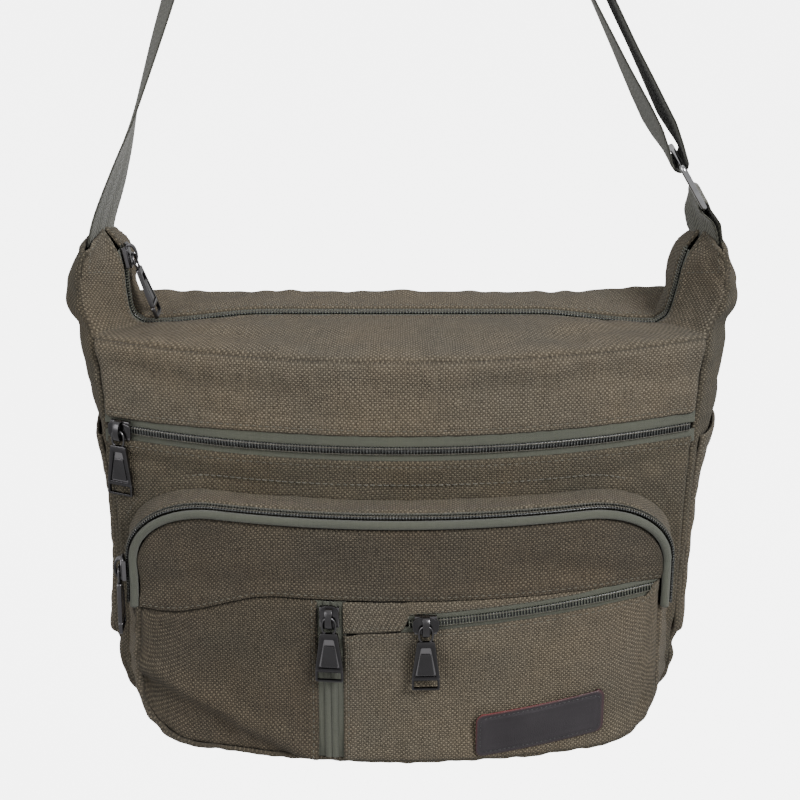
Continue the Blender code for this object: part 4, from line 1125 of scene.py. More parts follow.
panel = Panel(cargo_lower, 1, 0.0022)
panel.seam("t0", seed=94, depth=0.0010, puff=0.0008).seam("t1", seed=95, puff=0.0012, pucker=0.0008)
panel.soften(0.040, 0.0014, 96, clear=0.008, edges=("t0", "t1"))
panel.settle().cloth("cargo_gusset_cloth", canvas, ["cargo_gusset_lower"], thick=POCKET_CLOTH)

FACE_END = CARGO_HALF - 0.0002
HEM_REACH = 0.0010                                   # the hems beside the vertical zip lie over its tape
RIGHT_X = VERTICAL_ZIP_X + VERTICAL_ZIP_HALF - HEM_REACH

panel = Panel(face_piece(-FACE_END, FACE_END, cargo_seam, face_high), 1, 0.0022, step_t=0.0018)
panel.hem("t0", seed=101, wide=0.0065, raise_by=0.0008, drop=0.0010)
panel.seam("t1", seed=102, depth=0.0010, puff=0.0009)
panel.dip(panel.t0 - 0.0024)
panel.soften(0.050, 0.0013, 103, clear=0.012, edges=("t0", "t1"))
panel.crease((-0.128, 0.1020), (-0.060, 0.1150), 0.0012, 0.006)
panel.crease((0.060, 0.1220), (0.126, 0.1060), 0.0014, 0.006)
panel.settle().cloth("cargo_upper_cloth", deep_shade_canvas, ["cargo_panel_upper"], thick=POCKET_CLOTH)
cargo_stitches.row(panel.line("t0", 0.0024, 0.02, 0.98))

panel = Panel(
    face_piece(-FACE_END, VERTICAL_ZIP_X - VERTICAL_ZIP_HALF + HEM_REACH, face_low, cargo_seam), 1, 0.0020,
)
panel.seam("s0", seed=111, pucker=0.0002).seam("t0", seed=112, puff=0.0012, pucker=0.0008)
panel.seam("t1", seed=113, puff=0.0005, pucker=0.0003).hem("s1", seed=114)
panel.dip(panel.s1 - CARGO_STITCH)
panel.soften(0.045, 0.0014, 115, clear=0.014)
fold_from = np.array((-0.1230, 0.0470))
fold_along = unit(np.array((-0.0640, 0.0200)) - fold_from)
below = (panel.points[..., [0, 2]] - fold_from) @ np.array((fold_along[1], -fold_along[0]))
panel.height -= 0.0030 * smooth(-0.0010, 0.0060, below)
panel.height += 0.0026 * np.exp(-(((below + 0.0040) / 0.0055) ** 2))
panel.settle().cloth("cargo_left_cloth", deep_shade_canvas, ["cargo_panel_left"], thick=POCKET_CLOTH)
cargo_stitches.row(panel.line("s1", CARGO_STITCH))


def right_top(x):
    """Under the small zip, and up past its right-hand end to the pocket's cross seam."""
    past = float(smooth(0.1255, 0.1285, x))
    return min(small_zip_z(x) - 0.0042 + 0.0090 * past, cargo_seam(x) - 0.0004)


panel = Panel(face_piece(RIGHT_X, FACE_END, face_low, right_top), 1, 0.0020)
panel.seam("s1", seed=121, pucker=0.0002).seam("t0", seed=122, puff=0.0012, pucker=0.0008)
panel.hem("t1", seed=123, drop=0.0004).hem("s0", seed=124)
panel.dip(panel.t1 - CARGO_STITCH).dip(panel.s0 - CARGO_STITCH)
panel.soften(0.050, 0.0013, 125, clear=0.014)
panel.crease((-0.020, 0.0850), (0.020, 0.0660), 0.0007, 0.006)
panel.settle().cloth("cargo_right_cloth", canvas, ["cargo_panel_right"], thick=POCKET_CLOTH)
cargo_stitches.row(panel.line("t1", CARGO_STITCH)).row(panel.line("s0", CARGO_STITCH))


def strip_low(x):
    return small_zip_z(x) + 0.0042 - 0.0086 * (1 - float(smooth(0.0018, 0.0046, x)))


panel = Panel(
    face_piece(RIGHT_X, 0.1200, strip_low, lambda x: max(cargo_seam(x), strip_low(x) + 0.0006)), 1, 0.0020,
)
panel.height -= 0.0006 * np.exp(-((panel.t1 / 0.0010) ** 2))
panel.height -= 0.0006 * np.exp(-((panel.t0 / 0.0007) ** 2)) * smooth(-0.001, 0.005, panel.points[..., 0])
panel.settle().cloth("cargo_wedge_cloth", canvas, ["cargo_panel_wedge"], thick=POCKET_CLOTH)
cargo_stitches.row(panel.path(((0.02, 0.22), (0.80, 0.25)), 120), pitch=0.0030)
cargo_stitches.make("cargo_stitches")

BINDING_R = 0.0022
BINDING_SIDES = 14
binding_path = np.array([cargo_edge(True, i / 200, 0.0024, 0.0024, 0, -0.1008) for i in range(201)])
verts, faces = [], []
tube(verts, faces, binding_path, BINDING_R, BINDING_SIDES, normals=cylinder_normals(binding_path))
lay = [
    (BINDING_R * 2 * math.pi * m / BINDING_SIDES, along)
    for along in lengths(binding_path) for m in range(BINDING_SIDES)
]
put("cargo_binding_cloth", verts, faces, tape, "bag", thread=lay, nodes=["cargo_binding"])


# ---------------------------------------------------------------- zips
def strip(name, edge_a, edge_b, sign, node, sink=0.0007, thick=0.0009):
    """A length of zip tape between two lines."""
    panel = Panel(lambda s, t: edge_a(s) + (edge_b(s) - edge_a(s)) * t, sign, 0.0030, step_t=0.0008)
    panel.height -= sink
    panel.height += 0.00010 * np.cos(2 * math.pi * panel.t0 / 0.0013)
    panel.settle().cloth(name, tape, [node], thick=thick, slot="zip_tape", quarter=True)


TOOTH_PITCH = 0.00156
TOOTH = (                                            # places across and out, from its tape to its tip
    (-0.00225, -0.0003), (-0.00190, 0.00050), (-0.00120, 0.00098), (0.00020, 0.00100), (0.00062, 0.00020),
)


def coil_frames(line, across, count=500):
    """Evenly spaced places along a coil: points, and directions along and across it."""
    points = np.array([line(float(k)) for k in np.linspace(0, 1, count)])
    run = lengths(points)
    teeth = int(run[-1] / TOOTH_PITCH)
    p = sampled(np.linspace(TOOTH_PITCH / 2, run[-1] - TOOTH_PITCH / 2, teeth), run, points)
    along = unit(np.gradient(p, axis=0))
    return p, along, unit(across - along * (along @ across)[:, None])


def coil(word, line, across, outward, node, look):
    """Two interlocked rows of teeth, with the two lines of thread that hold them to the tapes."""
    p, along, wide = coil_frames(line, np.array(across, float))
    up = np.cross(along, wide)
    if (up[len(up) // 2] @ np.asarray(outward, float)) < 0:
        up = -up
    verts, faces = [], []
    for k in range(len(p)):
        for side in (1, -1):
            bar = np.array([p[k] + wide[k] * a * side + up[k] * h for a, h in TOOTH])
            radii = np.array((0.00026, 0.00031, 0.00033, 0.00033, 0.00024))
            tube(verts, faces, bar, radii, 5, normals=np.tile(up[k], (len(bar), 1)))
    put(f"{word}_zip_teeth", verts, faces, look, "bag", nodes=[node])
    verts, faces = [], []
    for side in (-1, 1):
        beat = 1 + 0.35 * np.cos(np.arange(len(p) * 2) * math.pi)
        fine = np.repeat(p, 2, axis=0)
        fine[1::2] += along * TOOTH_PITCH / 2
        rows = fine + np.repeat(wide, 2, axis=0) * side * 0.00158 + np.repeat(up, 2, axis=0) * 0.00100
        tube(verts, faces, rows, 0.00019 * beat, 5, normals=np.repeat(up, 2, axis=0))
    put(f"{word}_zip_thread", verts, faces, thread, "bag")
    # A near-black strip under the teeth: painted shade in the gaps between them.
    gap_shade_at = p + up * 0.0001
    verts, faces = [], []
    ring = [(-0.0021, -0.0002), (-0.0016, 0.00035), (0.0016, 0.00035), (0.0021, -0.0002), (0, -0.0008)]
    for k in range(len(p)):
        verts += [gap_shade_at[k] + wide[k] * a + up[k] * h for a, h in ring]
    faces += skin(len(p), 5)
    faces.append((0, 1, 2, 3, 4))
    last = (len(p) - 1) * 5
    faces.append(tuple(last + m for m in (4, 3, 2, 1, 0)))
    put(f"{word}_zip_gap_shade", verts, faces, coil_gap_shade, "bag")


U_END = 0.985
UPPER_X = 0.1485
UPPER_END = 0.1518                                   # its tapes are sewn into the side seams
SMALL_RUN = (-0.030, 1.050)                          # its tapes run a little past its teeth
BACK_HALF = 0.144
TUCKED = 0.0006                                      # how far a tape reaches in under its zip's teeth
EDGED = 0.0002


def main_line(aside):
    return lambda s: zip_line((2 * s - 1) * U_END) + np.array((0, aside, 0))


def upper_line(z, half=UPPER_END):
    return lambda s: front_at((2 * s - 1) * half, z)


def cargo_line(more, centre):
    return lambda s: cargo_edge(True, s, more, more - 0.0003, 0, centre)


def small_line(lift):
    return lambda s: small_at(SMALL_RUN[0] + s * SMALL_RUN[1], lift)


def back_line(rise):
    return lambda s: np.array(((2 * s - 1) * BACK_HALF, back_y(0, BACK_ZIP_Z), BACK_ZIP_Z + rise))


def vertical_line(aside):
    low, high = VERTICAL_Z
    return lambda s: face_at(VERTICAL_ZIP_X + aside, low + s * (high - low))


ALONG_Y = (0, 1, 0)
ALONG_Z = (0, 0, 1)
TO_FRONT = (0, -1, 0)
cargo_coil = cargo_line(0.0056, -0.0978)
for away, word in ((-1, "front"), (1, "back")):
    strip(
        f"main_tape_{word}", main_line(away * (ZIP_HALF - EDGED)), main_line(away * 0.0060), away,
        f"main_zip_tape_{word}", sink=0.0006,
    )
coil("main", main_line(0), ALONG_Y, ALONG_Z, "main_zip_coil", coil_green)
strip(
    "upper_tape_high", upper_line(UPPER_ZIP_Z + ZIP_HALF - TUCKED), upper_line(UPPER_TAPE[1] + 0.0010), 1,
    "upper_zip_tape_high",
)
strip(
    "upper_tape_low", upper_line(UPPER_TAPE[0] - 0.0010), upper_line(UPPER_ZIP_Z - ZIP_HALF + TUCKED), 1,
    "upper_zip_tape_low",
)
coil("upper", upper_line(UPPER_ZIP_Z, UPPER_X), ALONG_Z, TO_FRONT, "upper_zip_coil", coil_black)
strip(
    "cargo_tape", cargo_line(0.0052, -0.0920), cargo_line(0.0050, -0.0964), -1, "cargo_zip_tape_inner",
    sink=0.0002,
)
coil("cargo", cargo_coil, ALONG_Y, ALONG_Z, "cargo_zip_coil", coil_black)
coil("small", lambda s: small_at(s, 0), ALONG_Z, TO_FRONT, "small_zip_coil", coil_green)
coil("back", back_line(0), ALONG_Z, ALONG_Y, "back_zip_coil", coil_black)
strip("small_tape_high", small_line(ZIP_HALF - TUCKED), small_line(0.0054), 1, "small_zip_tape_high")
strip("small_tape_low", small_line(-0.0054), small_line(-ZIP_HALF + TUCKED), 1, "small_zip_tape_low")
for sign, word in ((1, "high"), (-1, "low")):
    strip(
        f"back_tape_{word}", back_line(sign * (ZIP_HALF - EDGED)), back_line(sign * 0.0080), -sign,
        f"back_zip_tape_{word}",
    )
for sign, word in ((-1, "left"), (1, "right")):
    strip(
        f"vertical_tape_{word}", vertical_line(sign * (ZIP_HALF - EDGED)),
        vertical_line(sign * (VERTICAL_ZIP_HALF + 0.0010)), -sign, f"vertical_zip_tape_{word}",
    )
# The vertical zip is a reversed one: its teeth are behind, so two smooth ribs and a seam show.
RIBS_HALF = 0.0036
panel = Panel(lambda s, t: vertical_line((2 * s - 1) * RIBS_HALF)(t), 1, 0.00035, step_t=0.0016)
ribs = panel.points[..., 0] - VERTICAL_ZIP_X
panel.height += 0.0007 * np.exp(-(((np.abs(ribs) - 0.0017) / 0.0011) ** 2)) - 0.0003
panel.height -= 0.0004 * np.exp(-((ribs / 0.00025) ** 2))
# Painted shade: a dark line in the seam between the ribs and dark slits along both edges.
panel.seam_shade_and_edge_paint = 0.9 * np.exp(-((ribs / 0.00022) ** 2)) + 0.5 * np.exp(-(((np.abs(ribs) - 0.0033) / 0.0003) ** 2))
panel.settle().cloth(
    "vertical_zip_ribs", tape, ["vertical_zip_coil"], thick=0.0008, slot="zip_coil", quarter=True
)

# ---------------------------------------------------------------- leather patch
PATCH = (0.0715, 0.0302, 0.0665, 0.0250, 0.0045)     # centre x and z, width, height, corner radius
PATCH_SLANT = 0.120
patch_x, patch_z, patch_w, patch_h, patch_r = PATCH


def patch_surface(s, t):
    up = t * patch_h
    near = min(up, patch_h - up)
    pulled = patch_r - math.sqrt(max(0.0, patch_r ** 2 - (patch_r - near) ** 2)) if near < patch_r else 0.0
    x = (2 * s - 1) * (patch_w / 2 - pulled)
    return face_at(patch_x + x, patch_z - patch_h / 2 + up + PATCH_SLANT * x, 0.0029)


panel = Panel(patch_surface, 1, 0.0012)
px = panel.points[..., 0] - patch_x
pz = panel.points[..., 2] - patch_z - PATCH_SLANT * px
cx = np.abs(px) - patch_w / 2 + patch_r
cz = np.abs(pz) - patch_h / 2 + patch_r
rim = -(np.hypot(np.maximum(cx, 0), np.maximum(cz, 0)) + np.minimum(np.maximum(cx, cz), 0) - patch_r)
panel.height -= 0.0007 * np.exp(-((np.maximum(rim, 0) / 0.0007) ** 1.5))
panel.height -= 0.00045 * np.exp(-(((rim - 0.0024) / 0.0006) ** 2))
panel.height += 0.00025 * np.exp(-(((rim - 0.0042) / 0.0010) ** 2))
panel.height -= 0.00016 * np.exp(-(((rim - 0.0058) / 0.0004) ** 2))
panel.soften(0.030, 0.00025, 131, clear=0.006)
# The red edge paint is real; drawing it stronger toward the upper left, the lit side, is painted light.
lit = smooth(-0.2, 0.9, pz / patch_h - px / patch_w)
panel.seam_shade_and_edge_paint = (0.15 + 0.80 * lit) * np.exp(-((rim / 0.0008) ** 2))
panel.settle()
panel.cloth("leather_patch_cover", leather, ["leather_patch"], thick=0.0016, slot="leather")
PATCH_STITCH_IN = 0.0024
SQUARENESS = 0.22
ring = []
for k in range(241):
    turn = 2 * math.pi * k / 240
    dx = (patch_w / 2 - PATCH_STITCH_IN) * signed_power(math.cos(turn), SQUARENESS)
    dz = (patch_h / 2 - PATCH_STITCH_IN) * signed_power(math.sin(turn), SQUARENESS)
    ring.append(face_at(patch_x + dx, patch_z + dz + PATCH_SLANT * dx, 0.0026))
ring = np.array(ring)
patch_stitches = Stitching(17).row((ring, cylinder_normals(ring)), pitch=0.0024)
patch_stitches.make("patch_stitches", dark_thread, slot="leather")


# ---------------------------------------------------------------- sliders and pulls
def finished(mesh_parts, bevel, segments=2):
    """Joins simple closed shapes, given as (points, faces), into one mesh with rounded edges."""
    work = bmesh.new()
    for verts, faces in mesh_parts:
        made = [work.verts.new(tuple(map(float, v))) for v in verts]
        for face in faces:
            try:
                work.faces.new([made[k] for k in face])
            except ValueError:
                pass
    bmesh.ops.recalc_face_normals(work, faces=work.faces)
    if bevel:
        sharp = [e for e in work.edges if len(e.link_faces) == 2 and e.calc_face_angle(0) > math.radians(35)]
        bmesh.ops.bevel(
            work, geom=sharp, offset=bevel, segments=segments, affect="EDGES", clamp_overlap=True, profile=0.5
        )
    bmesh.ops.triangulate(work, faces=[f for f in work.faces if len(f.verts) > 4])
    mesh = bpy.data.meshes.new("finished")
    work.to_mesh(mesh)
    work.free()
    return mesh


def slab(outline_xz, y_low, y_high, taper=1.0):
    """A plate of the given outline in x and z."""
    n = len(outline_xz)
    verts = [(x, y_low, z) for x, z in outline_xz] + [(x * taper, y_high, z * taper) for x, z in outline_xz]
    faces = [tuple(range(n)), tuple(range(2 * n - 1, n - 1, -1))]
    faces += [(k, (k + 1) % n, n + (k + 1) % n, n + k) for k in range(n)]
    return verts, faces


def frame_plate(outer, inner, y_low, y_high):
    """A plate with an opening; both outlines have the same number of points."""
    n = len(outer)
    verts = []
    for y in (y_low, y_high):
        verts += [(x, y, z) for x, z in outer] + [(x, y, z) for x, z in inner]
    faces = []
    for k in range(n):
        m = (k + 1) % n
        faces += [(k, m, n + m, n + k), (2 * n + k, 3 * n + k, 3 * n + m, 2 * n + m)]
        faces += [(k, 2 * n + k, 2 * n + m, m), (n + k, n + m, 3 * n + m, 3 * n + k)]
    return verts, faces


def softened(corners, radius, per=4):
    """An outline through corner points with its corners rounded."""
    found = []
    n = len(corners)
    for k in range(n):
        here = np.array(corners[k], float)
        before = unit(np.array(corners[k - 1]) - here)
        after = unit(np.array(corners[(k + 1) % n]) - here)
        for i in range(per + 1):
            f = i / per
            found.append(here + before * radius * (1 - f) ** 2 + after * radius * f ** 2)
    return [tuple(p) for p in found]


def box_outline(half_x, half_z, at=0.0):
    """A rectangle's corners, round from the lower left."""
    return [(at - half_x, -half_z), (at + half_x, -half_z), (at + half_x, half_z), (at - half_x, half_z)]


def trapezoid(top, half_top, bottom, half_bottom, radius):
    return softened(
        [(-half_top, top), (-half_bottom, bottom), (half_bottom, bottom), (half_top, top)], radius
    )


def slider_mesh(upright):
    """x runs across the pull, y out of the bag, z up; the coil passes behind the plate."""
    shield = [(-0.0030, 0.0066), (-0.0050, 0.0030), (-0.0048, -0.0010), (-0.0033, -0.0066),
              (0.0033, -0.0066), (0.0048, -0.0010), (0.0050, 0.0030), (0.0030, 0.0066)]
    if not upright:
        shield = [(z, x) for x, z in reversed(shield)]
    plate = finished([slab(softened(shield, 0.0015), 0.0019, 0.0034)], 0.0004)
    sides = []
    for at in (-0.0043, 0.0043):
        corners = box_outline(0.0007, 0.0056, at)
        if not upright:
            corners = [(z, x) for x, z in corners]
        sides.append(slab(corners, 0.0005, 0.0026))
    walls = finished(sides, 0.0003)
    verts, faces = [], []
    arch = []
    for k in range(17):
        turn = math.pi * k / 16
        arch.append((0, 0.0028 + 0.0040 * math.sin(turn) ** 0.6, 0.0052 * math.cos(turn)))
    arch = np.array(arch)
    ahead = unit(np.gradient(arch, axis=0))
    n = len(arch)
    section = softened(box_outline(0.0016, 0.0005), 0.0003, 2)
    for k in range(n):
        up = np.cross(ahead[k], (1.0, 0, 0))
        wide = 1.0 + 0.18 * abs(math.cos(math.pi * k / (n - 1)))
        verts += [arch[k] + np.array((a * wide, 0, 0)) + up * b for a, b in section]
    m = len(section)
    faces += skin(n, m) + [tuple(range(m)), tuple(range(n * m - 1, n * m - m - 1, -1))]
    bridge = finished([(verts, faces)], 0)
    return [plate, walls, bridge]


def pull_mesh():
    """The oval link and the tapering plate with its raised field and its loop; the hinge is at the origin."""
    turns = [2 * math.pi * k / 40 for k in range(40)]
    oval = [
        (0.0034 * signed_power(math.cos(a), 0.8), 0.0, -0.0042 + 0.0046 * signed_power(math.sin(a), 0.85))
        for a in turns
    ]
    verts, faces = [], []
    tube(verts, faces, oval, 0.00062, 10, closed=True, normals=np.tile((0.0, 1.0, 0.0), (40, 1)))
    link = finished([(verts, faces)], 0)
    outer = trapezoid(-0.0078, 0.0044, -0.0291, 0.0072, 0.0010)
    field = trapezoid(-0.0112, 0.0024, -0.0276, 0.0053, 0.0006)
    rim = finished([frame_plate(outer, field, -0.00105, 0.00105)], 0.00028)
    floor = finished([slab(trapezoid(-0.0100, 0.0030, -0.0282, 0.0060, 0.0006), -0.00075, 0.00005)], 0)
    raised = finished([slab(trapezoid(-0.0150, 0.0026, -0.0268, 0.0043, 0.0006), -0.0002, 0.00085)], 0.0003)
    loop_out = trapezoid(-0.0286, 0.0071, -0.0352, 0.0071, 0.0011)
    loop_in = trapezoid(-0.0298, 0.0058, -0.0341, 0.0059, 0.0006)
    loop = finished([frame_plate(loop_out, loop_in, -0.00095, 0.00095)], 0.00026)
    return [link, rim, floor, raised, loop]


def joined(meshes, matrix, name, look, body, node):
    work = bmesh.new()
    for mesh in meshes:
        copy = mesh.copy()
        copy.transform(matrix)
        work.from_mesh(copy)
        bpy.data.meshes.remove(copy)
    mesh = bpy.data.meshes.new(name)
    work.to_mesh(mesh)
    work.free()
    mesh.materials.append(look)
    mesh.shade_smooth()
    mesh.set_sharp_from_angle(angle=math.radians(38))
    return tied(name, mesh, body, [node])


SLIDERS = {True: slider_mesh(True), False: slider_mesh(False)}
PULL = pull_mesh()
PULL_OUT = 0.0047


def zip_hardware(word, at, outward, upright, lean=0.0):
    outward = Vector(outward).normalized()
    rise = Vector((0, 0, 1))
    rise = (rise - outward * rise.dot(outward)).normalized()
    turned = Matrix((outward.cross(rise), outward, rise)).transposed().to_4x4()
    at = Vector(at) - Vector(STRAP_TOP)
    joined(
        SLIDERS[upright], Matrix.Translation(at) @ turned, f"{word}_slider_body", gunmetal,
        f"{word}_slider", f"{word}_zip_slider",
    )
    hinge = Matrix.Translation(at + outward * PULL_OUT)
    joined(
        PULL, hinge @ turned @ Matrix.Rotation(lean, 4, "X"), f"{word}_pull_plate", gunmetal,
        f"{word}_pull", f"{word}_zip_pull",
    )


def coil_up(line, w, side_way):
    along = Vector(line(w + 1e-3)) - Vector(line(w - 1e-3))
    return along.cross(Vector(side_way)).normalized()


MAIN_U = -0.960
UPPER_SLIDER_X = -0.1420
CARGO_SLIDER_W = 0.0545
main_out = coil_up(zip_line, MAIN_U, (0, 1, 0))
main_out *= 1 if main_out.x > 0 else -1
cargo_out = coil_up(cargo_coil, CARGO_SLIDER_W, (0, 1, 0))
cargo_out *= 1 if cargo_out.x < 0 else -1
small_slider_at = small_at(0.070, 0)
zip_hardware("main", zip_line(MAIN_U), main_out, True, lean=MAIN_LEAN)
zip_hardware("upper", front_at(UPPER_SLIDER_X, UPPER_ZIP_Z), cylinder_normal(UPPER_SLIDER_X), False)
zip_hardware("cargo", cargo_coil(CARGO_SLIDER_W), cargo_out, True)
zip_hardware("vertical", face_at(VERTICAL_ZIP_X, 0.0955), cylinder_normal(VERTICAL_ZIP_X), True)
zip_hardware("small", small_slider_at, cylinder_normal(small_slider_at[0]), False)
zip_hardware("back", (-0.1330, back_y(0, BACK_ZIP_Z), BACK_ZIP_Z), (0, 1, 0), False)

# ---------------------------------------------------------------- strap, ring, tab and adjuster
ring_low = np.array((RING_LOW[0], 0, RING_LOW[1]))
ring_high = np.array((RING_HIGH[0], 0, RING_HIGH[1]))
arc_centre = STRAP_TOP - np.array((0, 0, TOP_RADIUS + WEB_THICK / 2))


def tangent(point, side):
    """Where a straight leg from a point meets the arc at the top, on the given side."""
    away = point - arc_centre
    swing = math.acos(TOP_RADIUS / math.hypot(away[0], away[2]))
    angle = (math.atan2(away[2], away[0]) + side * swing) % (2 * math.pi)
    return angle, arc_centre + TOP_RADIUS * np.array((math.cos(angle), 0, math.sin(angle)))


def plane_normal(direction):
    return np.array((direction[2], 0, -direction[0]))


WRAP = RING_WIRE + STRAP_SLACK + WEB_THICK / 2
leg_dir = unit(STRAP_TOP - ring_high)
leg_in = -plane_normal(leg_dir)
right_angle, right_touch = tangent(ring_high + leg_in * WRAP, 1)
leg_dir = unit(right_touch - ring_high - leg_in * WRAP)
leg_in = -plane_normal(leg_dir)
leg_start = ring_high + leg_in * WRAP
LEFT_PATH = ((-0.1545, 0.2530), (-0.1525, 0.2680), (-0.1450, 0.2900), (-0.1365, 0.3150), (-0.1285, 0.3400))
left_angle, left_touch = tangent(np.array((LEFT_PATH[-1][0], 0, LEFT_PATH[-1][1])), -1)
TWIST = (0.19, 0.25, 0.14, -0.06, -0.16, -0.22, -0.26)
TWIST_Z = (0.2530, 0.4000)


# How far each of the right-hand bands is turned, by its distance from the ring.
LEG_TURN = (
    (0.1200, 0.0), (0.0900, 0.03), (0.0600, 0.10), (0.0470, 0.145),
    (0.0350, 0.19), (0.0200, 0.21), (0.0090, 0.12), (0.0020, 0.0),
)
TAIL_TURN = (
    (0.0006, 0.0), (0.0090, 0.09), (0.0200, 0.18), (0.0350, 0.15),
    (0.0600, 0.10), (0.1600, 0.08), (0.2050, 0.0),
)


def turned_by(turns, d):
    return float(np.interp(d, [up for up, _ in turns], [turn for _, turn in turns]))


def twist(z):
    """How far the left leg's width turns out of the strap's plane, by height."""
    if z < TWIST_Z[1]:
        share = (z - TWIST_Z[0]) / (TWIST_Z[1] - TWIST_Z[0])
        return float(curve_through(TWIST, share))
    return TWIST[-1] * (1 - float(smooth(TWIST_Z[1], left_touch[2] - 0.005, z)))


def band(name, path, skews, nodes):
    """A woven band along a path in the plane y 0; skew turns its width out of that plane."""
    path = np.array(path, float)
    run = lengths(path)
    count = max(4, int(run[-1] / 0.0030))
    if count < len(path) * 2:
        count = len(path) * 3
    at = np.linspace(0, run[-1], count)
    p = sampled(at, run, path)
    skew = np.interp(at, run, skews)
    ahead = unit(np.gradient(p, axis=0))
    wide = np.stack([-skew, -np.ones(len(at)), np.zeros(len(at))], 1)
    wide = unit(wide - ahead * (wide * ahead).sum(1, keepdims=True))
    up = np.cross(ahead, wide)
    top = np.linspace(-1, 1, 19)
    ridge = 0.5 * WEB_THICK * (1 - np.abs(top) ** 8 * 0.75) + 0.00007 * np.cos(top * math.pi * 9)
    verts, lay, faces = [], [], []
    for k in range(len(at)):
        sway = 0.00025 * math.sin(at[k] * 60) + 0.00018 * math.sin(at[k] * 143 + 1)
        half = WEB_HALF + 0.00012 * math.sin(at[k] * 2 * math.pi / 0.0042)
        for sign in (1, -1):
            for x, r in zip(top[::sign], ridge[::sign]):
                verts.append(p[k] + wide[k] * x * half + up[k] * (sign * r + sway * (1 - x * x)))
                lay.append((x * WEB_HALF, at[k]))
    m = 2 * len(top)
    faces += skin(len(at), m) + [tuple(range(m))[::-1], tuple(range((len(at) - 1) * m, len(at) * m))]
    return put(name, verts, faces, webbing, "bag", thread=lay, nodes=nodes)


path = [np.array((x, 0, z)) for x, z in (curve_through(LEFT_PATH, i / 32) for i in range(33))]
path += [path[-1] + (left_touch - path[-1]) * i / 24 for i in range(1, 24)]
skews = [twist(p[2]) for p in path]
path.append(left_touch)
for i in range(1, 24):
    a = left_angle + (right_angle - left_angle) * i / 24
    path.append(arc_centre + TOP_RADIUS * np.array((math.cos(a), 0, math.sin(a))))
path.append(right_touch)
skews += [0.0] * (len(path) - len(skews))
for up in np.linspace(LEG_TURN[0][0], LEG_TURN[-1][0], 61):
    path.append(leg_start + leg_dir * up)
    skews.append(-turned_by(LEG_TURN[::-1], up))
for i in range(17):
    a = math.pi * i / 16
    path.append(ring_high + WRAP * (leg_in * math.cos(a) - leg_dir * math.sin(a)))
    skews.append(0.0)
band("strap_band", path, skews, ["strap_webbing"])
tail_from = ring_high - leg_in * WRAP
tail_at = np.linspace(0.0004, ADJUSTER_AT - 0.008, 80)
tail_path = [tail_from + leg_dir * d for d in tail_at]
tail = band("strap_tail_band", tail_path, [-turned_by(TAIL_TURN, d) for d in tail_at], ["strap_tail"])

TAB_WRAP = RING_WIRE + 0.0003 + WEB_THICK / 2
tab_foot = np.array((0.1585, 0, 0.2545))
tab_up = unit(ring_low - tab_foot)
tab_side = plane_normal(tab_up)
tab_path = []
tab_skews = []
for turn in range(2):
    for i in range(13):
        k = i / 12 if turn == 0 else 1 - i / 12
        spread = 0.0011 + (TAB_WRAP - 0.0011) * float(smooth(0.45, 1.0, k))
        tab_path.append(tab_foot + (ring_low - tab_foot) * k + tab_side * spread * (-1 if turn == 0 else 1))
        tab_skews.append(-(0.18 + 0.14 * float(smooth(0.0, 0.4, k))) * (1 - float(smooth(0.6, 1.0, k))))
    if turn == 0:
        for i in range(1, 12):
            a = math.pi * i / 12
            tab_path.append(ring_low + TAB_WRAP * (-tab_side * math.cos(a) + tab_up * math.sin(a)))
            tab_skews.append(0.0)
band("strap_tab_band", tab_path, tab_skews, ["strap_tab"])

half = WEB_HALF + 0.0026
middle = (ring_high + ring_low) / 2
along = unit(ring_high - ring_low)
length = np.linalg.norm(ring_high - ring_low)
loop = [
    middle + np.array((0, 1, 0)) * a + along * b
    for a, b in softened(box_outline(half, length / 2), 0.0034, 8)
]
verts, faces = [], []
tube(verts, faces, loop, RING_WIRE, 20, closed=True, normals=np.tile(plane_normal(along), (len(loop), 1)))
put("ring_wire", verts, faces, chrome, "ring", nodes=["strap_ring"])

RAIL_IN = WEB_HALF + 0.0010
RAIL_OUT = WEB_HALF + 0.0040
BAR_END = RAIL_OUT - 0.0005
GLIDE_HALF = 0.0140


def bar(low, high):
    (x0, y0, z0), (x1, y1, z1) = low, high
    verts = [(x, y, z) for x in (x0, x1) for y in (y0, y1) for z in (z0, z1)]
    faces = [(0, 1, 3, 2), (4, 6, 7, 5), (0, 4, 5, 1), (2, 3, 7, 6), (0, 2, 6, 4), (1, 5, 7, 3)]
    return verts, faces


GLIDE_BARS = (
    ((-GLIDE_HALF, -RAIL_OUT, WRAP - 0.0040), (GLIDE_HALF, -RAIL_IN, WRAP + 0.0035)),
    ((-GLIDE_HALF, RAIL_IN, WRAP - 0.0040), (GLIDE_HALF, RAIL_OUT, WRAP + 0.0035)),
    ((-GLIDE_HALF, -BAR_END, WRAP + 0.0011), (-0.0110, BAR_END, WRAP + 0.0033)),
    ((0.0110, -BAR_END, WRAP + 0.0011), (GLIDE_HALF, BAR_END, WRAP + 0.0033)),
    ((-0.0015, -BAR_END, WRAP - 0.0036), (0.0015, BAR_END, WRAP - 0.0012)),
)
glide = [finished([bar(low, high)], 0.0007, 3) for low, high in GLIDE_BARS]
turned = Matrix((Vector(leg_dir), Vector((0, 1, 0)), Vector(leg_in))).transposed().to_4x4()
glide_at = Matrix.Translation(Vector(ring_high + leg_dir * ADJUSTER_AT - STRAP_TOP))
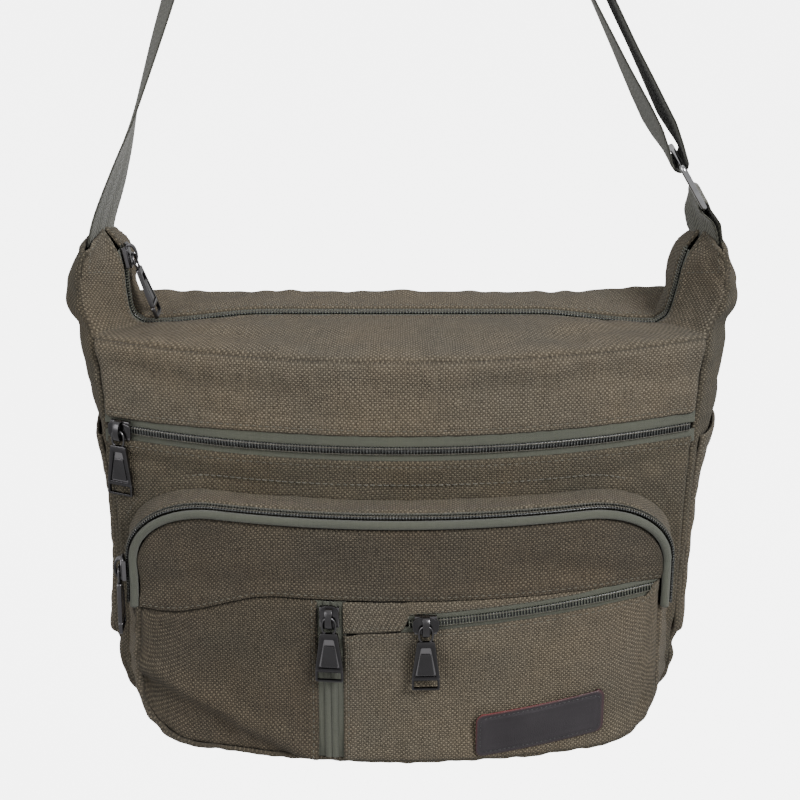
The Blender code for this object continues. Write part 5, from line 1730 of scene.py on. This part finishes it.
joined(glide, glide_at @ turned, "adjuster_slide_body", gunmetal, "adjuster", "strap_adjuster")

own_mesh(tail)

# ---------------------------------------------------------------- linings keep their own shape
for node in ("front_pocket_lining", "back_pocket_lining", "cargo_pocket_lining", "inner_slip_pocket"):
    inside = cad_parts[node]
    inside.data.materials.clear()
    inside.data.materials.append(lining)

# ---------------------------------------------------------------- floor and light
FLOOR_Z = -1.05
FLOOR_HALF = 6
WORLD_STRENGTH = 0.62
floor_mesh = bpy.data.meshes.new("floor")
corners = [(x * FLOOR_HALF, y * FLOOR_HALF, FLOOR_Z) for x, y in ((-1, -1), (1, -1), (1, 1), (-1, 1))]
floor_mesh.from_pydata(corners, [], [(0, 1, 2, 3)])
floor = shown("floor", floor_mesh)
pale = Graph("floor", (0.92, 0.92, 0.92), 0.9, specular_ior_level=0.1, emission_strength=5.0)
pale.set("Emission Color", (1.0, 1.0, 1.0, 1))
floor_mesh.materials.append(pale.material)
floor.visible_diffuse = False                        # it glows for the camera and sheds no light on the bag
floor.visible_glossy = False
floor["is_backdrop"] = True

world = bpy.data.worlds.new("studio")
world.use_nodes = True
world.node_tree.nodes["Background"].inputs["Color"].default_value = (1.0, 1.0, 1.0, 1)
world.node_tree.nodes["Background"].inputs["Strength"].default_value = WORLD_STRENGTH
bpy.context.scene.world = world


def light(name, at, aim, size, watts):
    data = bpy.data.lights.new(name, "AREA")
    data.shape = "RECTANGLE"
    data.size, data.size_y = size
    data.energy = watts
    lamp = shown(name, data)
    lamp.location = at
    lamp.rotation_euler = (Vector(aim) - Vector(at)).to_track_quat("-Z", "Y").to_euler()


BAG_MIDDLE = (0.03, 0, -0.45)
light("key", (1.1, -1.2, 0.7), BAG_MIDDLE, (0.7, 0.7), 46)
light("fill", (-1.2, -1.1, 0.2), BAG_MIDDLE, (1.0, 1.2), 14)
light("top", (0.0, 0.2, 1.1), BAG_MIDDLE, (1.2, 1.0), 3)
light("back_light", (0.0, 1.6, 0.9), (0.0, 1.2, -1.05), (2.4, 2.4), 6)

low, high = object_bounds()
